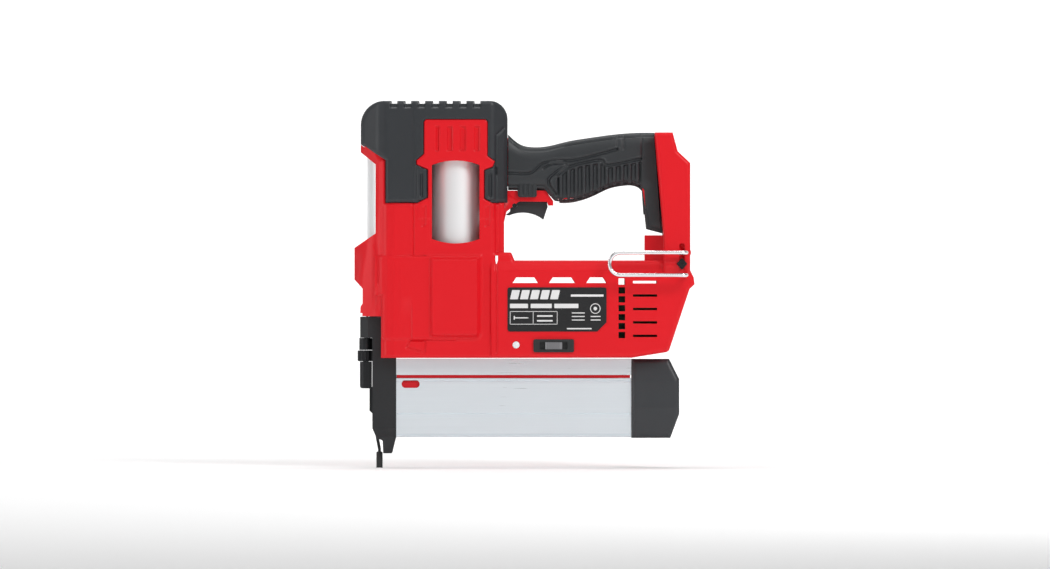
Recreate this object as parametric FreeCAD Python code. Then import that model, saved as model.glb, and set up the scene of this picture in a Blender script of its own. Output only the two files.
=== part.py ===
import FreeCAD, Part
import math
import os

# Cordless 18 gauge brad nailer: a crank driven air compressor beside a drive cylinder, over a side sliding
# magazine, with a battery dock behind a closed handle.
# Frame, in millimetres: the origin is the centre of the contact tip's foot, where the tool meets the work.
# +Z runs up along the driver, +X towards the battery, and -Y is the side that carries the belt hook.
# Both housing halves meet on the plane y = 0.

Vector = FreeCAD.Vector

# ---------------------------------------------------------------- driving dimensions

# fits and walls
wall = 2.6             # housing shell
fit_gap = 0.3          # between pieces that only sit side by side
run_gap = 0.05         # radial play of a shaft in its hole
screw_radius = 1.6
screw_play = 0.05

# drive cylinder, over the nose
driver_x = 7.0         # driver axis, behind the contact tip
drive_bore = 15.0      # radii of the two cylinders
drive_wall = 2.3
drive_stroke = 61.5
blade_length_x = 3.0
blade_width_y = 1.6
bumper_height = 14.0

# compressor
cylinder_spacing = 56.7
comp_bore = 19.5
comp_wall = 2.5
crank_throw = 20.0
rod_length = 80.0
crown_height = 14.0    # wrist pin to piston crown
skirt_height = 8.0     # wrist pin to skirt end
head_space = 16.0      # crown to head at top dead centre
head_height = 12.0

# vertical stack
nose_tip_z = 12.0
magazine_bottom_z = 25.4
magazine_height = 65.2
body_gap = 0.9
case_height = 81.0
crank_height = 40.5    # crank axis over the case floor
hand_gap = 48.3        # case top to the front of the grip
cover_rise = 31.0      # head top to cover top

# lengths
tower_rear_margin = 18.1
hand_length = 117.0
column_inner = 15.2
column_depth = 37.4
magazine_length = 195.5
end_cap_length = 39.8

# half widths
case_width = 31.0
tower_width = 29.0
cover_width = 30.0
cover_wall = 3.0
panel_rise = 2.0
bump_rise = 5.6
chin_width = 20.0
column_width = 37.5
column_inner_width = 20.0
grip_width = 18.5
grip_skin = 3.0
snout_width = 13.0
nose_seat_radius = 15.5
magazine_width = 12.5
magazine_wall = 1.6
end_cap_width = 17.0

# nose and contact arm
contact_x = -11.4      # axis of the depth wheel
contact_travel = 10.0
wheel_radius = 6.9
wheel_height = 9.1
tip_radius = 2.65
tip_height = 13.4

# motor and gears
motor_radius = 21.5
motor_length = 60.0
gear_module = 1.0
sun_teeth = 12
planet_teeth = 15
ring_teeth = 42
gear_width = 10.0
gear_backlash = 0.16
planet_count = 3

# belt hook
hook_radius = 1.7
hook_stand_off = 8.5
hook_length = 67.0
hook_half_height = 9.35

# ---------------------------------------------------------------- derived places

drive_radius = drive_bore + drive_wall
comp_radius = comp_bore + comp_wall
comp_x = driver_x + cylinder_spacing
body_bottom_z = magazine_bottom_z + magazine_height + body_gap
case_top_z = body_bottom_z + case_height
crank_z = body_bottom_z + crank_height
comp_base_z = case_top_z + 5.5
wrist_low_z = crank_z - crank_throw + rod_length
head_z = crank_z + crank_throw + rod_length + crown_height + head_space
head_top_z = head_z + head_height
cover_top_z = head_top_z + cover_rise
cover_edge_z = head_z - 41.6
hood_bottom_z = body_bottom_z + 16.7
hood_top_z = body_bottom_z + 34.2
seat_top_z = body_bottom_z + 60.5
tower_front_x = driver_x - 9.9
tower_rear_x = comp_x + comp_radius + tower_rear_margin
cover_front_x = tower_front_x - 12.5
column_front_x = tower_rear_x + hand_length
column_step_x = column_front_x + column_inner
column_rear_x = column_front_x + column_depth
magazine_front_x = driver_x + 7.1
magazine_rear_x = magazine_front_x + magazine_length
magazine_top_z = magazine_bottom_z + magazine_height
channel_top_z = magazine_bottom_z + 49.1
grip_z = case_top_z + hand_gap
window_half = comp_radius - 2.25
window_low_z = head_z - 71.6
window_high_z = head_z - 10.4

# ---------------------------------------------------------------- shape helpers


def place(plane, a, b, c):
    """Point (a, b) of a drawing plane, c along its normal."""
    if plane == "xz":
        return Vector(a, c, b)
    if plane == "xy":
        return Vector(a, b, c)
    return Vector(c, a, b)


def outline(points, plane="xz", offset=0.0):
    """Closed wire through the corners; a third number rounds that corner with an arc."""
    edges = []
    starts, ends = [], []
    count = len(points)
    for i, corner in enumerate(points):
        here = place(plane, corner[0], corner[1], offset)
        radius = corner[2] if len(corner) > 2 else 0.0
        if radius <= 0:
            starts.append(here)
            ends.append(here)
            continue
        before = points[i - 1]
        after = points[(i + 1) % count]
        u = (place(plane, before[0], before[1], offset) - here).normalize()
        w = (place(plane, after[0], after[1], offset) - here).normalize()
        half = u.getAngle(w) / 2
        reach = radius / math.tan(half)
        bisector = (u + w).normalize()
        start = here + u * reach
        end = here + w * reach
        middle = here + bisector * (radius / math.sin(half) - radius)
        edges.append((i, Part.Arc(start, middle, end).toShape()))
        starts.append(start)
        ends.append(end)
    arcs = dict(edges)
    chain = []
    for i in range(count):
        if i in arcs:
            chain.append(arcs[i])
        a, b = ends[i], starts[(i + 1) % count]
        if (a - b).Length > 1e-6:
            chain.append(Part.LineSegment(a, b).toShape())
    return Part.Wire(chain)


def extrude(wire, plane, length):
    direction = place(plane, 0, 0, length)
    return Part.Face(wire).extrude(direction)


def prism(points, low, high, plane="xz"):
    """Solid of an outline between two planes along the drawing plane's normal."""
    return extrude(outline(points, plane, low), plane, high - low)


def drawn_in(points, distance):
    """Corners of an outline whose sides have all moved inwards by a distance."""
    count = len(points)
    area = sum(points[i - 1][0] * points[i][1] - points[i][0] * points[i - 1][1] for i in range(count))
    turn = 1 if area > 0 else -1
    moved = []
    for i, corner in enumerate(points):
        before, after = points[i - 1], points[(i + 1) % count]
        u = Vector(corner[0] - before[0], corner[1] - before[1], 0).normalize()
        w = Vector(after[0] - corner[0], after[1] - corner[1], 0).normalize()
        u_in, w_in = Vector(-u.y, u.x, 0) * turn, Vector(-w.y, w.x, 0) * turn
        shift = (u_in + w_in) * (distance / (1 + u_in.dot(w_in)))
        radius = corner[2] if len(corner) > 2 else 0.0
        bend = (u.x * w.y - u.y * w.x) * turn
        radius = max(0.0, radius - distance if bend > 0 else radius + distance) if radius else 0.0
        moved.append((corner[0] + shift.x, corner[1] + shift.y, radius))
    return moved


def inset(points, distance, low, high):
    """Prism of an xz outline drawn in by a distance."""
    return prism(drawn_in(points, distance), low, high)


def plate_corners(x, z, half_length, half_height, radius):
    """Corners of a rounded rectangle about a point."""
    return [
        (x - half_length, z - half_height, radius),
        (x + half_length, z - half_height, radius),
        (x + half_length, z + half_height, radius),
        (x - half_length, z + half_height, radius),
    ]


def box(x0, x1, y0, y1, z0, z1):
    return Part.makeBox(x1 - x0, y1 - y0, z1 - z0, Vector(x0, y0, z0))


axes = {"x": Vector(1, 0, 0), "y": Vector(0, 1, 0), "z": Vector(0, 0, 1)}


def rod(axis, x, y, z, radius, length):
    return Part.makeCylinder(radius, length, Vector(x, y, z), axes[axis])


def tube(axis, x, y, z, outer, inner, length):
    return rod(axis, x, y, z, outer, length).cut(rod(axis, x, y, z, inner, length))


def join(*shapes):
    return shapes[0].fuse(list(shapes[1:])).removeSplitter()


def trim(shape, *tools):
    return shape.cut(list(tools)).removeSplitter()


def edges_on(shape, axis, value):
    """Edges that lie wholly on the plane axis = value."""
    def near(edge):
        box_ = edge.BoundBox
        low, high = getattr(box_, axis + "Min"), getattr(box_, axis + "Max")
        return abs(low - value) < 1e-4 and abs(high - value) < 1e-4
    return [edge for edge in shape.Edges if near(edge)]


def soften(shape, size, *planes):
    """Chamfer of every edge that lies on one of the planes (axis, value)."""
    chosen = [edge for axis, value in planes for edge in edges_on(shape, axis, value)]
    return shape.makeChamfer(size, chosen)


def mirror_y(shape):
    return shape.mirror(Vector(0, 0, 0), Vector(0, 1, 0))


def spring(x, y, z, coil_radius, wire_radius, turns, height):
    """Compression spring standing along +Z from its lowest turn's centre."""
    helix = Part.makeHelix(height / turns, height, coil_radius)
    profile = Part.Wire(
        Part.makeCircle(wire_radius, Vector(coil_radius, 0, 0), Vector(0, 1, 0))
    )
    coil = Part.Wire(helix).makePipeShell([profile], True, True)
    coil.translate(Vector(x, y, z))
    return coil


def save(name, *shapes):
    """Writes one node. Every shape stays a separate solid in it."""
    solids = [solid for shape in shapes for solid in shape.Solids]
    bad = [solid for solid in solids if not solid.isValid() or solid.Volume <= 0]
    if bad or not solids:
        raise ValueError(f"{name}: {len(bad)} bad of {len(solids)} solids")
    shape = solids[0] if len(solids) == 1 else Part.makeCompound(solids)
    shape.exportStep(f"parts/{name}.step")
    print(f"{name}: {len(solids)} solid(s), {shape.Volume / 1000:.2f} cm3")


# ---------------------------------------------------------------- outlines of the body, in xz

tower_points = [
    (driver_x - 5.3, body_bottom_z),
    (driver_x - 5.3, hood_top_z + 0.4),
    (driver_x - 23.0, hood_top_z + 0.4),
    (driver_x - 22.6, hood_top_z + 8.5),
    (driver_x - 20.9, hood_top_z + 11.1),
    (driver_x - 20.9, hood_top_z + 23.4),
    (driver_x - 27.7, hood_top_z + 30.9),
    (driver_x - 27.7, window_low_z - 7.5),
    (tower_front_x, window_low_z + 4.6),
    (tower_front_x, head_z - 9.7),
    (cover_front_x, head_z + 0.4),
    (cover_front_x, head_z + 6.7),
    (cover_front_x + 14.1, head_z - 2.4),
    (cover_front_x + 20.6, head_z - 6.7),
    (cover_front_x + 20.7, cover_edge_z - fit_gap),
    (tower_rear_x, cover_edge_z - fit_gap),
    (tower_rear_x, body_bottom_z),
]
cover_points = [
    (cover_front_x, head_z + 7.1),
    (cover_front_x + 14.2, head_z - 2.0),
    (cover_front_x + 20.9, head_z - 6.3),
    (cover_front_x + 21.0, cover_edge_z),
    (tower_rear_x + 2.9, cover_edge_z),
    (tower_rear_x + 2.9, cover_top_z, 15.0),
    (cover_front_x, cover_top_z, 20.0),
]
core_points = [
    (cover_front_x, head_z + 2.0),
    (cover_front_x, cover_top_z, 20.0),
    (tower_rear_x + 2.9, cover_top_z, 15.0),
    (tower_rear_x + 2.9, cover_edge_z - 12.0),
    (cover_front_x + 14.0, cover_edge_z - 12.0),
    (cover_front_x + 14.0, head_z - 10.0),
]
# the red panel that shows inside the cover, around the compressor window
inset_points = [
    (comp_x - window_half - 12.2, cover_edge_z - 14.0),
    (comp_x - window_half - 12.2, cover_edge_z),
    (comp_x - window_half - 3.6, cover_edge_z + 4.4),
    (comp_x - window_half - 3.6, head_z - 14.3),
    (comp_x - window_half - 13.1, head_z - 10.1),
    (comp_x - window_half - 13.1, head_z - 6.3),
    (comp_x - window_half - 6.9, head_z - 1.1),
    (comp_x - window_half - 6.9, head_z + 27.8, 3.0),
    (comp_x + window_half + 6.9, head_z + 27.8, 3.0),
    (comp_x + window_half + 6.9, head_z - 2.5),
    (comp_x + window_half + 13.1, head_z - 7.2),
    (comp_x + window_half + 11.2, head_z - 12.0),
    (comp_x + window_half + 4.1, head_z - 14.8),
    (comp_x + window_half + 4.1, cover_edge_z + 3.4),
    (comp_x + window_half + 12.1, cover_edge_z - 0.9),
    (comp_x + window_half + 12.1, cover_edge_z - 14.0),
]
case_points = [
    (tower_rear_x - 12.0, body_bottom_z),
    (column_front_x - 11.2, body_bottom_z + 0.2),
    (column_rear_x - 17.8, body_bottom_z + 5.2, 4.0),
    (column_rear_x - 0.5, body_bottom_z + 57.1),
    (column_rear_x + 3.7, body_bottom_z + 61.2),
    (column_rear_x + 3.0, body_bottom_z + 66.8),
    (column_rear_x, case_top_z - 8.0),
    (column_rear_x, case_top_z),
    (tower_rear_x + 8.7, case_top_z),
    (tower_rear_x + 6.0, case_top_z + 6.7, 2.0),
    (tower_rear_x - 12.0, case_top_z + 6.7),
]
column_points = [
    (column_step_x, case_top_z - 14.0),
    (column_rear_x, case_top_z - 14.0),
    (column_rear_x, grip_z + 32.4),
    (column_rear_x - 10.4, grip_z + 42.3),
    (column_rear_x - 14.6, grip_z + 57.8),
    (column_step_x - 7.0, grip_z + 57.8),
    (column_step_x - 7.0, grip_z + 53.0),
    (column_step_x, grip_z - 27.0),
]
frame_points = [
    (tower_rear_x - 4.0, grip_z + 9.8),
    (tower_rear_x + 34.5, grip_z + 9.8),
    (tower_rear_x + 40.9, grip_z + 1.1),
    (tower_rear_x + 40.9, grip_z - 2.5),
    (tower_rear_x + 36.8, grip_z - 2.5),
    (tower_rear_x + 35.6, grip_z + 0.5),
    (tower_rear_x + 12.4, grip_z + 0.8),
    (tower_rear_x + 2.1, grip_z - 7.5),
    (tower_rear_x, grip_z - 16.0),
    (tower_rear_x - 4.0, grip_z - 16.0),
]
# plan outline of the tower and cover, half of it, as (x, y) with y positive
tower_plan = [
    (driver_x - 27.7, 0.0),
    (driver_x - 27.7, 9.0),
    (driver_x - 14.6, 17.5),
    (tower_front_x, chin_width),
    (driver_x - 1.0, tower_width - 2.0),
    (driver_x + 5.0, tower_width),
    (tower_rear_x - 9.8, tower_width),
    (tower_rear_x, tower_width - 7.0),
    (tower_rear_x, 0.0),
]
cover_plan = [
    (cover_front_x, -15.0),
    (cover_front_x + 14.2, 3.0 - cover_width),
    (cover_front_x + 21.0, -cover_width),
    (tower_rear_x - 9.3, -cover_width),
    (tower_rear_x + 2.9, 9.0 - cover_width),
    (tower_rear_x + 2.9, cover_width - 9.0),
    (tower_rear_x - 9.3, cover_width),
    (cover_front_x + 21.0, cover_width),
    (cover_front_x + 14.2, cover_width - 3.0),
    (cover_front_x, 15.0),
]
elbow_points = [  # raised panel over the drive cylinder's foot
    (tower_front_x - 0.8, seat_top_z + 24.5),
    (tower_front_x - 0.8, seat_top_z - 8.5),
    (driver_x - 4.8, seat_top_z - 8.5),
    (driver_x - 4.8, body_bottom_z + 14.7, 4.0),
    (comp_x, body_bottom_z + 14.7),
    (comp_x, seat_top_z + 24.5),
]
bump_points = [  # deeper panel over the crank
    (comp_x - comp_radius - 2.7, comp_base_z),
    (comp_x - comp_radius - 2.7, body_bottom_z + 14.3, 7.0),
    (comp_x + comp_radius + 0.8, body_bottom_z + 14.3, 7.0),
    (comp_x + comp_radius + 0.8, comp_base_z),
]


def handle_wire(draw_in, offset):
    """Outline of the grip, drawn in by a distance. Top and underside are smooth curves."""
    def at(share, height):
        return Vector(tower_rear_x + share * hand_length, offset, grip_z + height)
    top = [(0.0, 60.2), (0.055, 53.4), (0.125, 47.6), (0.2, 45.9), (0.3, 46.5), (0.45, 50.6),
           (0.6, 53.5), (0.75, 56.0), (0.89, 57.5), (1.065, 57.8)]
    under = [(0.98, 9.6), (0.93, 13.6), (0.84, 13.8), (0.74, 11.2), (0.65, 6.2), (0.555, 1.9), (0.36, 0.1)]
    top_points = [at(s, h - draw_in) for s, h in top]
    under_points = [at(s, h + draw_in) for s, h in under]
    rear_x = column_front_x + draw_in
    corners = [
        top_points[-1],
        Vector(column_step_x - 7.0, offset, grip_z + 57.8 - draw_in),
        Vector(column_step_x - draw_in * 0.5, offset, grip_z - 27.0 + draw_in),
        Vector(rear_x, offset, grip_z - 23.5 + draw_in),
        under_points[0],
    ]
    front = [
        under_points[-1],
        at(0.28, 10.2 + draw_in),
        at(0.0, 10.2 + draw_in),
        top_points[0],
    ]

    def curve(points):
        spline = Part.BSplineCurve()
        spline.interpolate(points)
        return spline.toShape()

    def lines(points):
        return [Part.LineSegment(a, b).toShape() for a, b in zip(points, points[1:])]

    return Part.Wire([curve(top_points), *lines(corners), curve(under_points), *lines(front)])


def handle_prism(draw_in, half_width):
    """Left half of the handle's bulk, drawn in by a distance."""
    return extrude(handle_wire(draw_in, 0.0), "xz", -half_width)


# ---------------------------------------------------------------- housing halves

bay_half = 31.5                 # battery bay, inside the column
bay_front_x = column_rear_x - 11.2
bay_low_z = case_top_z - 6.5
core_width = cover_width - cover_wall - fit_gap
core_share = 0.88               # how much of the cover's plan the housing fills under it
handle_core_width = grip_width - grip_skin

screw_places = [  # x, z and the half width of the shell there
    (driver_x + 26.0, seat_top_z + 36.5, tower_width),
    (tower_rear_x - 8.3, head_z - 14.0, core_width - 2.7),
    (tower_rear_x - 8.3, case_top_z + 14.0, tower_width - 0.5),
    (tower_rear_x - 6.0, body_bottom_z + 8.0, case_width),
    (column_front_x - 28.0, body_bottom_z + 7.5, case_width),
    (column_front_x - 18.0, case_top_z - 8.0, case_width),
    (column_rear_x - 19.0, case_top_z + 76.0, column_width),
]


def window(low_y, high_y):
    """Opening over the compressor cylinder, with bowed ends."""
    left, right = comp_x - window_half, comp_x + window_half
    bow = 3.8
    top, bottom = window_high_z, window_low_z
    wire = Part.Wire([
        Part.LineSegment(Vector(left, low_y, bottom), Vector(left, low_y, top)).toShape(),
        Part.Arc(Vector(left, low_y, top), Vector(comp_x, low_y, top + bow),
                 Vector(right, low_y, top)).toShape(),
        Part.LineSegment(Vector(right, low_y, top), Vector(right, low_y, bottom)).toShape(),
        Part.Arc(Vector(right, low_y, bottom), Vector(comp_x, low_y, bottom - bow),
                 Vector(left, low_y, bottom)).toShape(),
    ])
    return extrude(wire, "xz", high_y - low_y)


def vents():
    """Cooling openings in the side of the motor case, as through tools."""
    tools = []
    deep = case_width + 5
    top_z = case_top_z - 18.7
    for start, length in ((7.1, 21.0), (37.4, 21.6), (68.3, 16.9)):
        x = tower_rear_x + start
        points = [(x, top_z), (x + length, top_z), (x + length - 3.0, top_z + 4.6), (x + 3.0, top_z + 4.6)]
        tools.append(prism(points, -deep, deep))
    for row in range(7):
        z = case_top_z - 17.5 - 7.4 * row
        x = column_front_x - 19.3
        tools.append(box(x - 2.7, x + 2.7, -deep, deep, z - 2.6, z + 2.6))
    for row in range(5):
        z = case_top_z - 18.0 - 11.15 * row
        x = column_front_x - 10.0
        tools.append(box(x, x + 20.0, -deep, deep, z - 1.0, z + 1.0))
    return tools


def shell_bulk():
    """Outer form of the left half, with nothing hollowed out."""
    plan = [(x, -y) for x, y in tower_plan]
    low_z, high_z = body_bottom_z - 1, cover_top_z + 1
    tower = prism(tower_points, -tower_width, 0).common(prism(plan, low_z, high_z, "xy"))
    core = inset(core_points, cover_wall + fit_gap, -core_width, 0)
    core_plan = [(x, min(max(y, -core_width), 0)) for x, y in cover_plan if y < 0]
    core_plan = [(cover_front_x, 0)] + core_plan + [(tower_rear_x + 2.9, 0)]
    core = core.common(prism([(x, y * core_share) for x, y in core_plan], low_z, high_z, "xy"))
    panel = inset(inset_points, fit_gap, -cover_width + 0.5, 0)
    case = soften(prism(case_points, -case_width, 0), 2.0, ("Y", -case_width))
    column = soften(prism(column_points, -column_width, 0), 2.0, ("Y", -column_width))
    inner = box(column_front_x, column_step_x + 1, -column_inner_width, 0, case_top_z - 14, grip_z - 27.4)
    elbow = soften(prism(elbow_points, -tower_width - panel_rise, 0), 1.5, ("Y", -tower_width - panel_rise))
    elbow_plan = [(tower_front_x - 0.8, 0), (tower_front_x - 0.8, -chin_width - 1.5),
                  (driver_x, -tower_width - panel_rise + 1.0),
                  (driver_x + 6, -tower_width - panel_rise - 1),
                  (comp_x + 1, -tower_width - panel_rise - 1), (comp_x + 1, 0)]
    elbow = elbow.common(prism(elbow_plan, low_z, high_z, "xy"))
    bump = soften(prism(bump_points, -tower_width - bump_rise, 0), 3.0, ("Y", -tower_width - bump_rise))
    frame = prism(frame_points, -13.0, 0)
    handle = handle_prism(grip_skin + fit_gap, handle_core_width)
    neck = box(tower_rear_x - 8, tower_rear_x + 6, -handle_core_width, 0, grip_z + 14, grip_z + 40)
    return join(tower, core, panel, case, column, inner, elbow, bump, frame, handle, neck)


def shell_hollow():
    """Everything that the left half leaves free inside."""
    plan = [(x, -max(y - wall, 0)) for x, y in tower_plan]
    plan[0] = (plan[0][0] + wall, 0)
    plan[1] = (plan[1][0] + wall, plan[1][1])
    plan[-1] = (plan[-1][0] - wall, 0)
    plan[-2] = (plan[-2][0] - wall, plan[-2][1])
    low_z, high_z = body_bottom_z, cover_top_z
    tower = inset(tower_points, wall, -(tower_width - wall), 1)
    tower = tower.common(prism([(x, y + 1 if y == 0 else y) for x, y in plan], low_z, high_z, "xy"))
    core = inset(core_points, cover_wall + fit_gap + wall, -(core_width - wall) * core_share, 1)
    core = core.common(box(tower_front_x + wall, tower_rear_x, -40, 1, low_z, high_z))
    case = inset(case_points, wall, -(case_width - wall), 1)
    bump = inset(bump_points, wall + 3.4, -(tower_width + bump_rise - wall), 1)
    inner = box(column_front_x + wall, column_step_x + 3, -(column_inner_width - wall), 1,
                case_top_z - 20, grip_z - 20)
    handle = handle_prism(grip_skin + fit_gap + wall, handle_core_width - wall)
    handle = handle.fuse(mirror_y(handle))
    gearbox_pass = box(tower_rear_x - 14, tower_rear_x + 4, -(tower_width - wall - 1), 1,
                       body_bottom_z + wall, case_top_z - wall - 3)
    inside = handle_core_width - wall
    neck = box(tower_rear_x - 10, tower_rear_x + 12, -inside, 1, grip_z + 16.6, grip_z + 37)
    reach = rod_thickness / 2 + 1.2
    rod_pass = box(comp_x - reach, comp_x + reach, -tower_width - 0.4, 1, body_bottom_z + 16.1, body_bottom_z + 22)
    column = inset(column_points, wall, -(column_width - wall), 1)
    column = column.common(box(column_step_x, bay_front_x - 3.6, -60, 1, case_top_z + 2.0, 400))
    passage = box(column_step_x - 4, column_step_x + 6, -(column_inner_width - wall), 1,
                  case_top_z - 30, case_top_z + 20)
    wire_pass = box(column_front_x + 6, column_step_x + 6, -inside, 1, grip_z - 30, grip_z + 50)
    return [tower, core, case, bump, inner, handle, gearbox_pass, neck, rod_pass, column, passage, wire_pass]


def nose_pass():
    """Room for the nose, both cylinders, the trigger and the battery in both halves."""
    wide = snout_width + fit_gap
    nose = box(driver_x - 40, driver_x + 17.5, -wide, wide, body_bottom_z - 5, hood_top_z + 3.0)
    trigger_slot = box(tower_rear_x - 3.0, tower_rear_x + 38.5, -6.6, 6.6, grip_z - 18, grip_z + 16.5)
    front_open = box(driver_x - 40, tower_front_x + wall + 1, -chin_width + wall, chin_width - wall,
                     window_low_z + 4.6, head_z - 9.7)
    bay = box(bay_front_x - 3.6, column_rear_x + 10, -bay_half, bay_half, bay_low_z, cover_top_z + 20)
    seat = rod("z", driver_x, 0, hood_top_z - 2, nose_seat_radius + fit_gap, seat_top_z - hood_top_z + 2)
    drive = rod("z", driver_x, 0, seat_top_z, drive_radius + run_gap, head_z - seat_top_z + 3.2)
    comp = rod("z", comp_x, 0, comp_base_z, comp_radius + run_gap, head_z - comp_base_z + 3.2)
    return [nose, trigger_slot, front_open, bay, seat, drive, comp]


def bosses(side):
    """Screw posts of one half: 1 for the right half, which holds the heads, -1 for the left."""
    posts, holes = [], []
    for x, z, half in screw_places:
        reach = half - 1.0
        post = rod("y", x, 0, z, screw_radius + 2.4, reach)
        posts.append(post if side > 0 else mirror_y(post))
        if side > 0:
            holes.append(rod("y", x, -1, z, screw_radius + screw_play, 200))
            holes.append(rod("y", x, half - 8.0, z, screw_radius + 1.7, 40))
        else:
            holes.append(rod("y", x, -12.5, z, screw_radius + screw_play, 13))
    return posts, holes


def housing(side):
    bulk = shell_bulk()
    shell = bulk.cut(shell_hollow())
    if side > 0:
        shell = mirror_y(shell)
    posts, holes = bosses(side)
    tools = [window(-60, 60), *vents(), *nose_pass()]
    hook_post = rod("y", hook_x, column_width - 12.0, hook_z, 4.2, 11.0)
    if side < 0:
        hook_post = mirror_y(hook_post)
        tools.append(rod("y", hook_x, -60, hook_z, hook_screw_radius + screw_play, 60 - column_width + 12))
        tools.append(prism(slot_points, -60, -column_width + 4.6))
        tools.append(prism(switch_hole, -60, -case_width + wall + 2))
        tools.append(rod("y", led_x, -60, led_z, led_radius + run_gap, 60 - case_width + wall + 2))
        for z in (hook_z - hook_half_height, hook_z + hook_half_height):
            tools.append(rod("y", hook_end_x, -60, z, hook_radius + run_gap, 65 - column_width))
            posts.append(rod("y", hook_end_x, -column_width + 1, z, hook_radius + 2.4, 5))
    else:
        tools.append(rod("y", hook_x, column_width - 8.0, hook_z, hook_screw_radius + screw_play, 30))
    shell = join(shell, *posts, hook_post)
    return trim(shell, *tools, *holes, rod("y", pin_x, -60, pin_z, pin_radius + run_gap, 120))


# ---------------------------------------------------------------- small places used by several parts

hook_x = column_rear_x - 6.9
hook_z = case_top_z - 2.9
hook_end_x = column_rear_x - 3.4
hook_screw_radius = 2.1
slot_points = [
    (hook_x - 2.2, hook_z - 12.0),
    (hook_x + 2.2, hook_z - 12.0),
    (hook_x + 2.2, hook_z + 17.0, 1.8),
    (hook_x - 2.2, hook_z + 17.0, 1.8),
]
switch_x = tower_rear_x + 41.2
switch_z = body_bottom_z + 10.2
switch_length = 33.7
switch_height = 10.8
switch_hole = [
    (switch_x - 13.0, switch_z - 3.4),
    (switch_x + 13.0, switch_z - 3.4),
    (switch_x + 13.0, switch_z + 3.4),
    (switch_x - 13.0, switch_z + 3.4),
]
led_x = tower_rear_x + 10.0
led_z = body_bottom_z + 10.9
led_radius = 2.9
pin_x = tower_rear_x + 8.7
pin_z = grip_z - 2.8
pin_radius = 1.9


def top_cover():
    outer = prism(cover_points, -cover_width, cover_width)
    outer = soften(outer, 2.0, ("Y", -cover_width), ("Y", cover_width))
    outer = outer.common(prism(cover_plan, cover_edge_z - 1, cover_top_z + 1, "xy"))
    hollow = inset(core_points, cover_wall, -(core_width + fit_gap), core_width + fit_gap)
    hollow_plan = [(x, y * core_share + math.copysign(fit_gap, y)) for x, y in cover_plan]
    hollow = hollow.common(prism(hollow_plan, cover_edge_z - 5, cover_top_z, "xy"))
    skirt = box(cover_front_x - 5, tower_front_x + 8.0, -11.0, 11.0, head_z - 20, head_z + 6.8)
    tools = [prism(inset_points, -60, 60), hollow, skirt]
    tools.append(box(tower_rear_x - 2, tower_rear_x + 10, -(handle_core_width + fit_gap),
                     handle_core_width + fit_gap, cover_edge_z - 5, grip_z + 60))
    for row in range(7):  # cooling slots across the top
        x = cover_front_x + 28.0 + 11.5 * row
        tools.append(box(x - 2.4, x + 2.4, -24, 24, cover_top_z - 2.2, cover_top_z + 1))
    return trim(outer, *tools)


def grip_half(side):
    layers = ((0.0, 5.5), (1.4, 2.6), (4.2, 0.0))
    outer = join(*(handle_prism(draw_in, grip_width - step) for draw_in, step in layers))
    inner = handle_prism(grip_skin, handle_core_width + fit_gap)
    shape = outer.cut([
        inner,
        box(tower_rear_x - 5, tower_rear_x + 3.3, -60, 1, grip_z - 30, grip_z + 100),
        box(tower_rear_x - 5, tower_rear_x + 42.0, -6.9, 1, grip_z - 30, grip_z + 14),
        box(tower_rear_x - 5, tower_rear_x + 46.0, -13.3, 1, grip_z - 30, grip_z + 10.4),
        rod("y", pin_x, -60, pin_z, pin_radius + 1, 120),
    ])
    column = prism(column_points, -column_width, 0)
    grown = inset(column_points, -fit_gap, -column_width, 0)
    shape = shape.cut([grown.fuse(column)])
    shape = shape.cut(box(column_front_x - 1, column_step_x + 2, -column_inner_width + 6, 1,
                          grip_z - 40, grip_z - 10))
    shape = max(shape.Solids, key=lambda s: s.Volume)
    return shape if side < 0 else mirror_y(shape)


# ---------------------------------------------------------------- cylinders and compressor


def drive_cylinder():
    return tube("z", driver_x, 0, seat_top_z, drive_radius, drive_bore, head_z - seat_top_z + 3.0)


def compressor_cylinder():
    return tube("z", comp_x, 0, comp_base_z, comp_radius, comp_bore, head_z - comp_base_z + 3.0)


def cylinder_head():
    """Manifold that closes both cylinders and joins them with an air passage."""
    height = head_height
    plan = [
        (driver_x - 16.0, -18.5, 6.0),
        (comp_x + comp_radius + 2.4, -core_width * core_share + wall + 1.6, 8.0),
        (comp_x + comp_radius + 2.4, core_width * core_share - wall - 1.6, 8.0),
        (driver_x - 16.0, 18.5, 6.0),
    ]
    plan = [(driver_x - 9.9 + wall + 0.3, y, 2.0) if x < driver_x else (x, y, r) for x, y, r in plan]
    block = prism(plan, head_z, head_z + height, "xy")
    seats = [
        rod("z", driver_x, 0, head_z - 1, drive_radius + run_gap, 4.05),
        rod("z", comp_x, 0, head_z - 1, comp_radius + run_gap, 4.05),
        rod("z", driver_x, 0, head_z - 1, drive_bore - 1, 7),
        rod("z", comp_x, 0, head_z - 1, comp_bore - 1, 7),
        rod("x", driver_x, 0, head_z + 6.5, 3.0, cylinder_spacing),
        rod("z", driver_x + 26.0, 0, head_z - 1, 5.0, 7),
    ]
    return trim(block, *seats)


def air_valve():
    """Solenoid valve that lets the compressed air into the drive cylinder."""
    x = driver_x + 26.0
    body = rod("z", x, 0, head_z - 44.0, 7.4, 36.0)
    neck = rod("z", x, 0, head_z - 8.0, 4.9, 12.0)
    collar = rod("z", x, 0, head_z - 10.0, 8.1, 3.0)
    return join(body, neck, collar)


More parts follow.
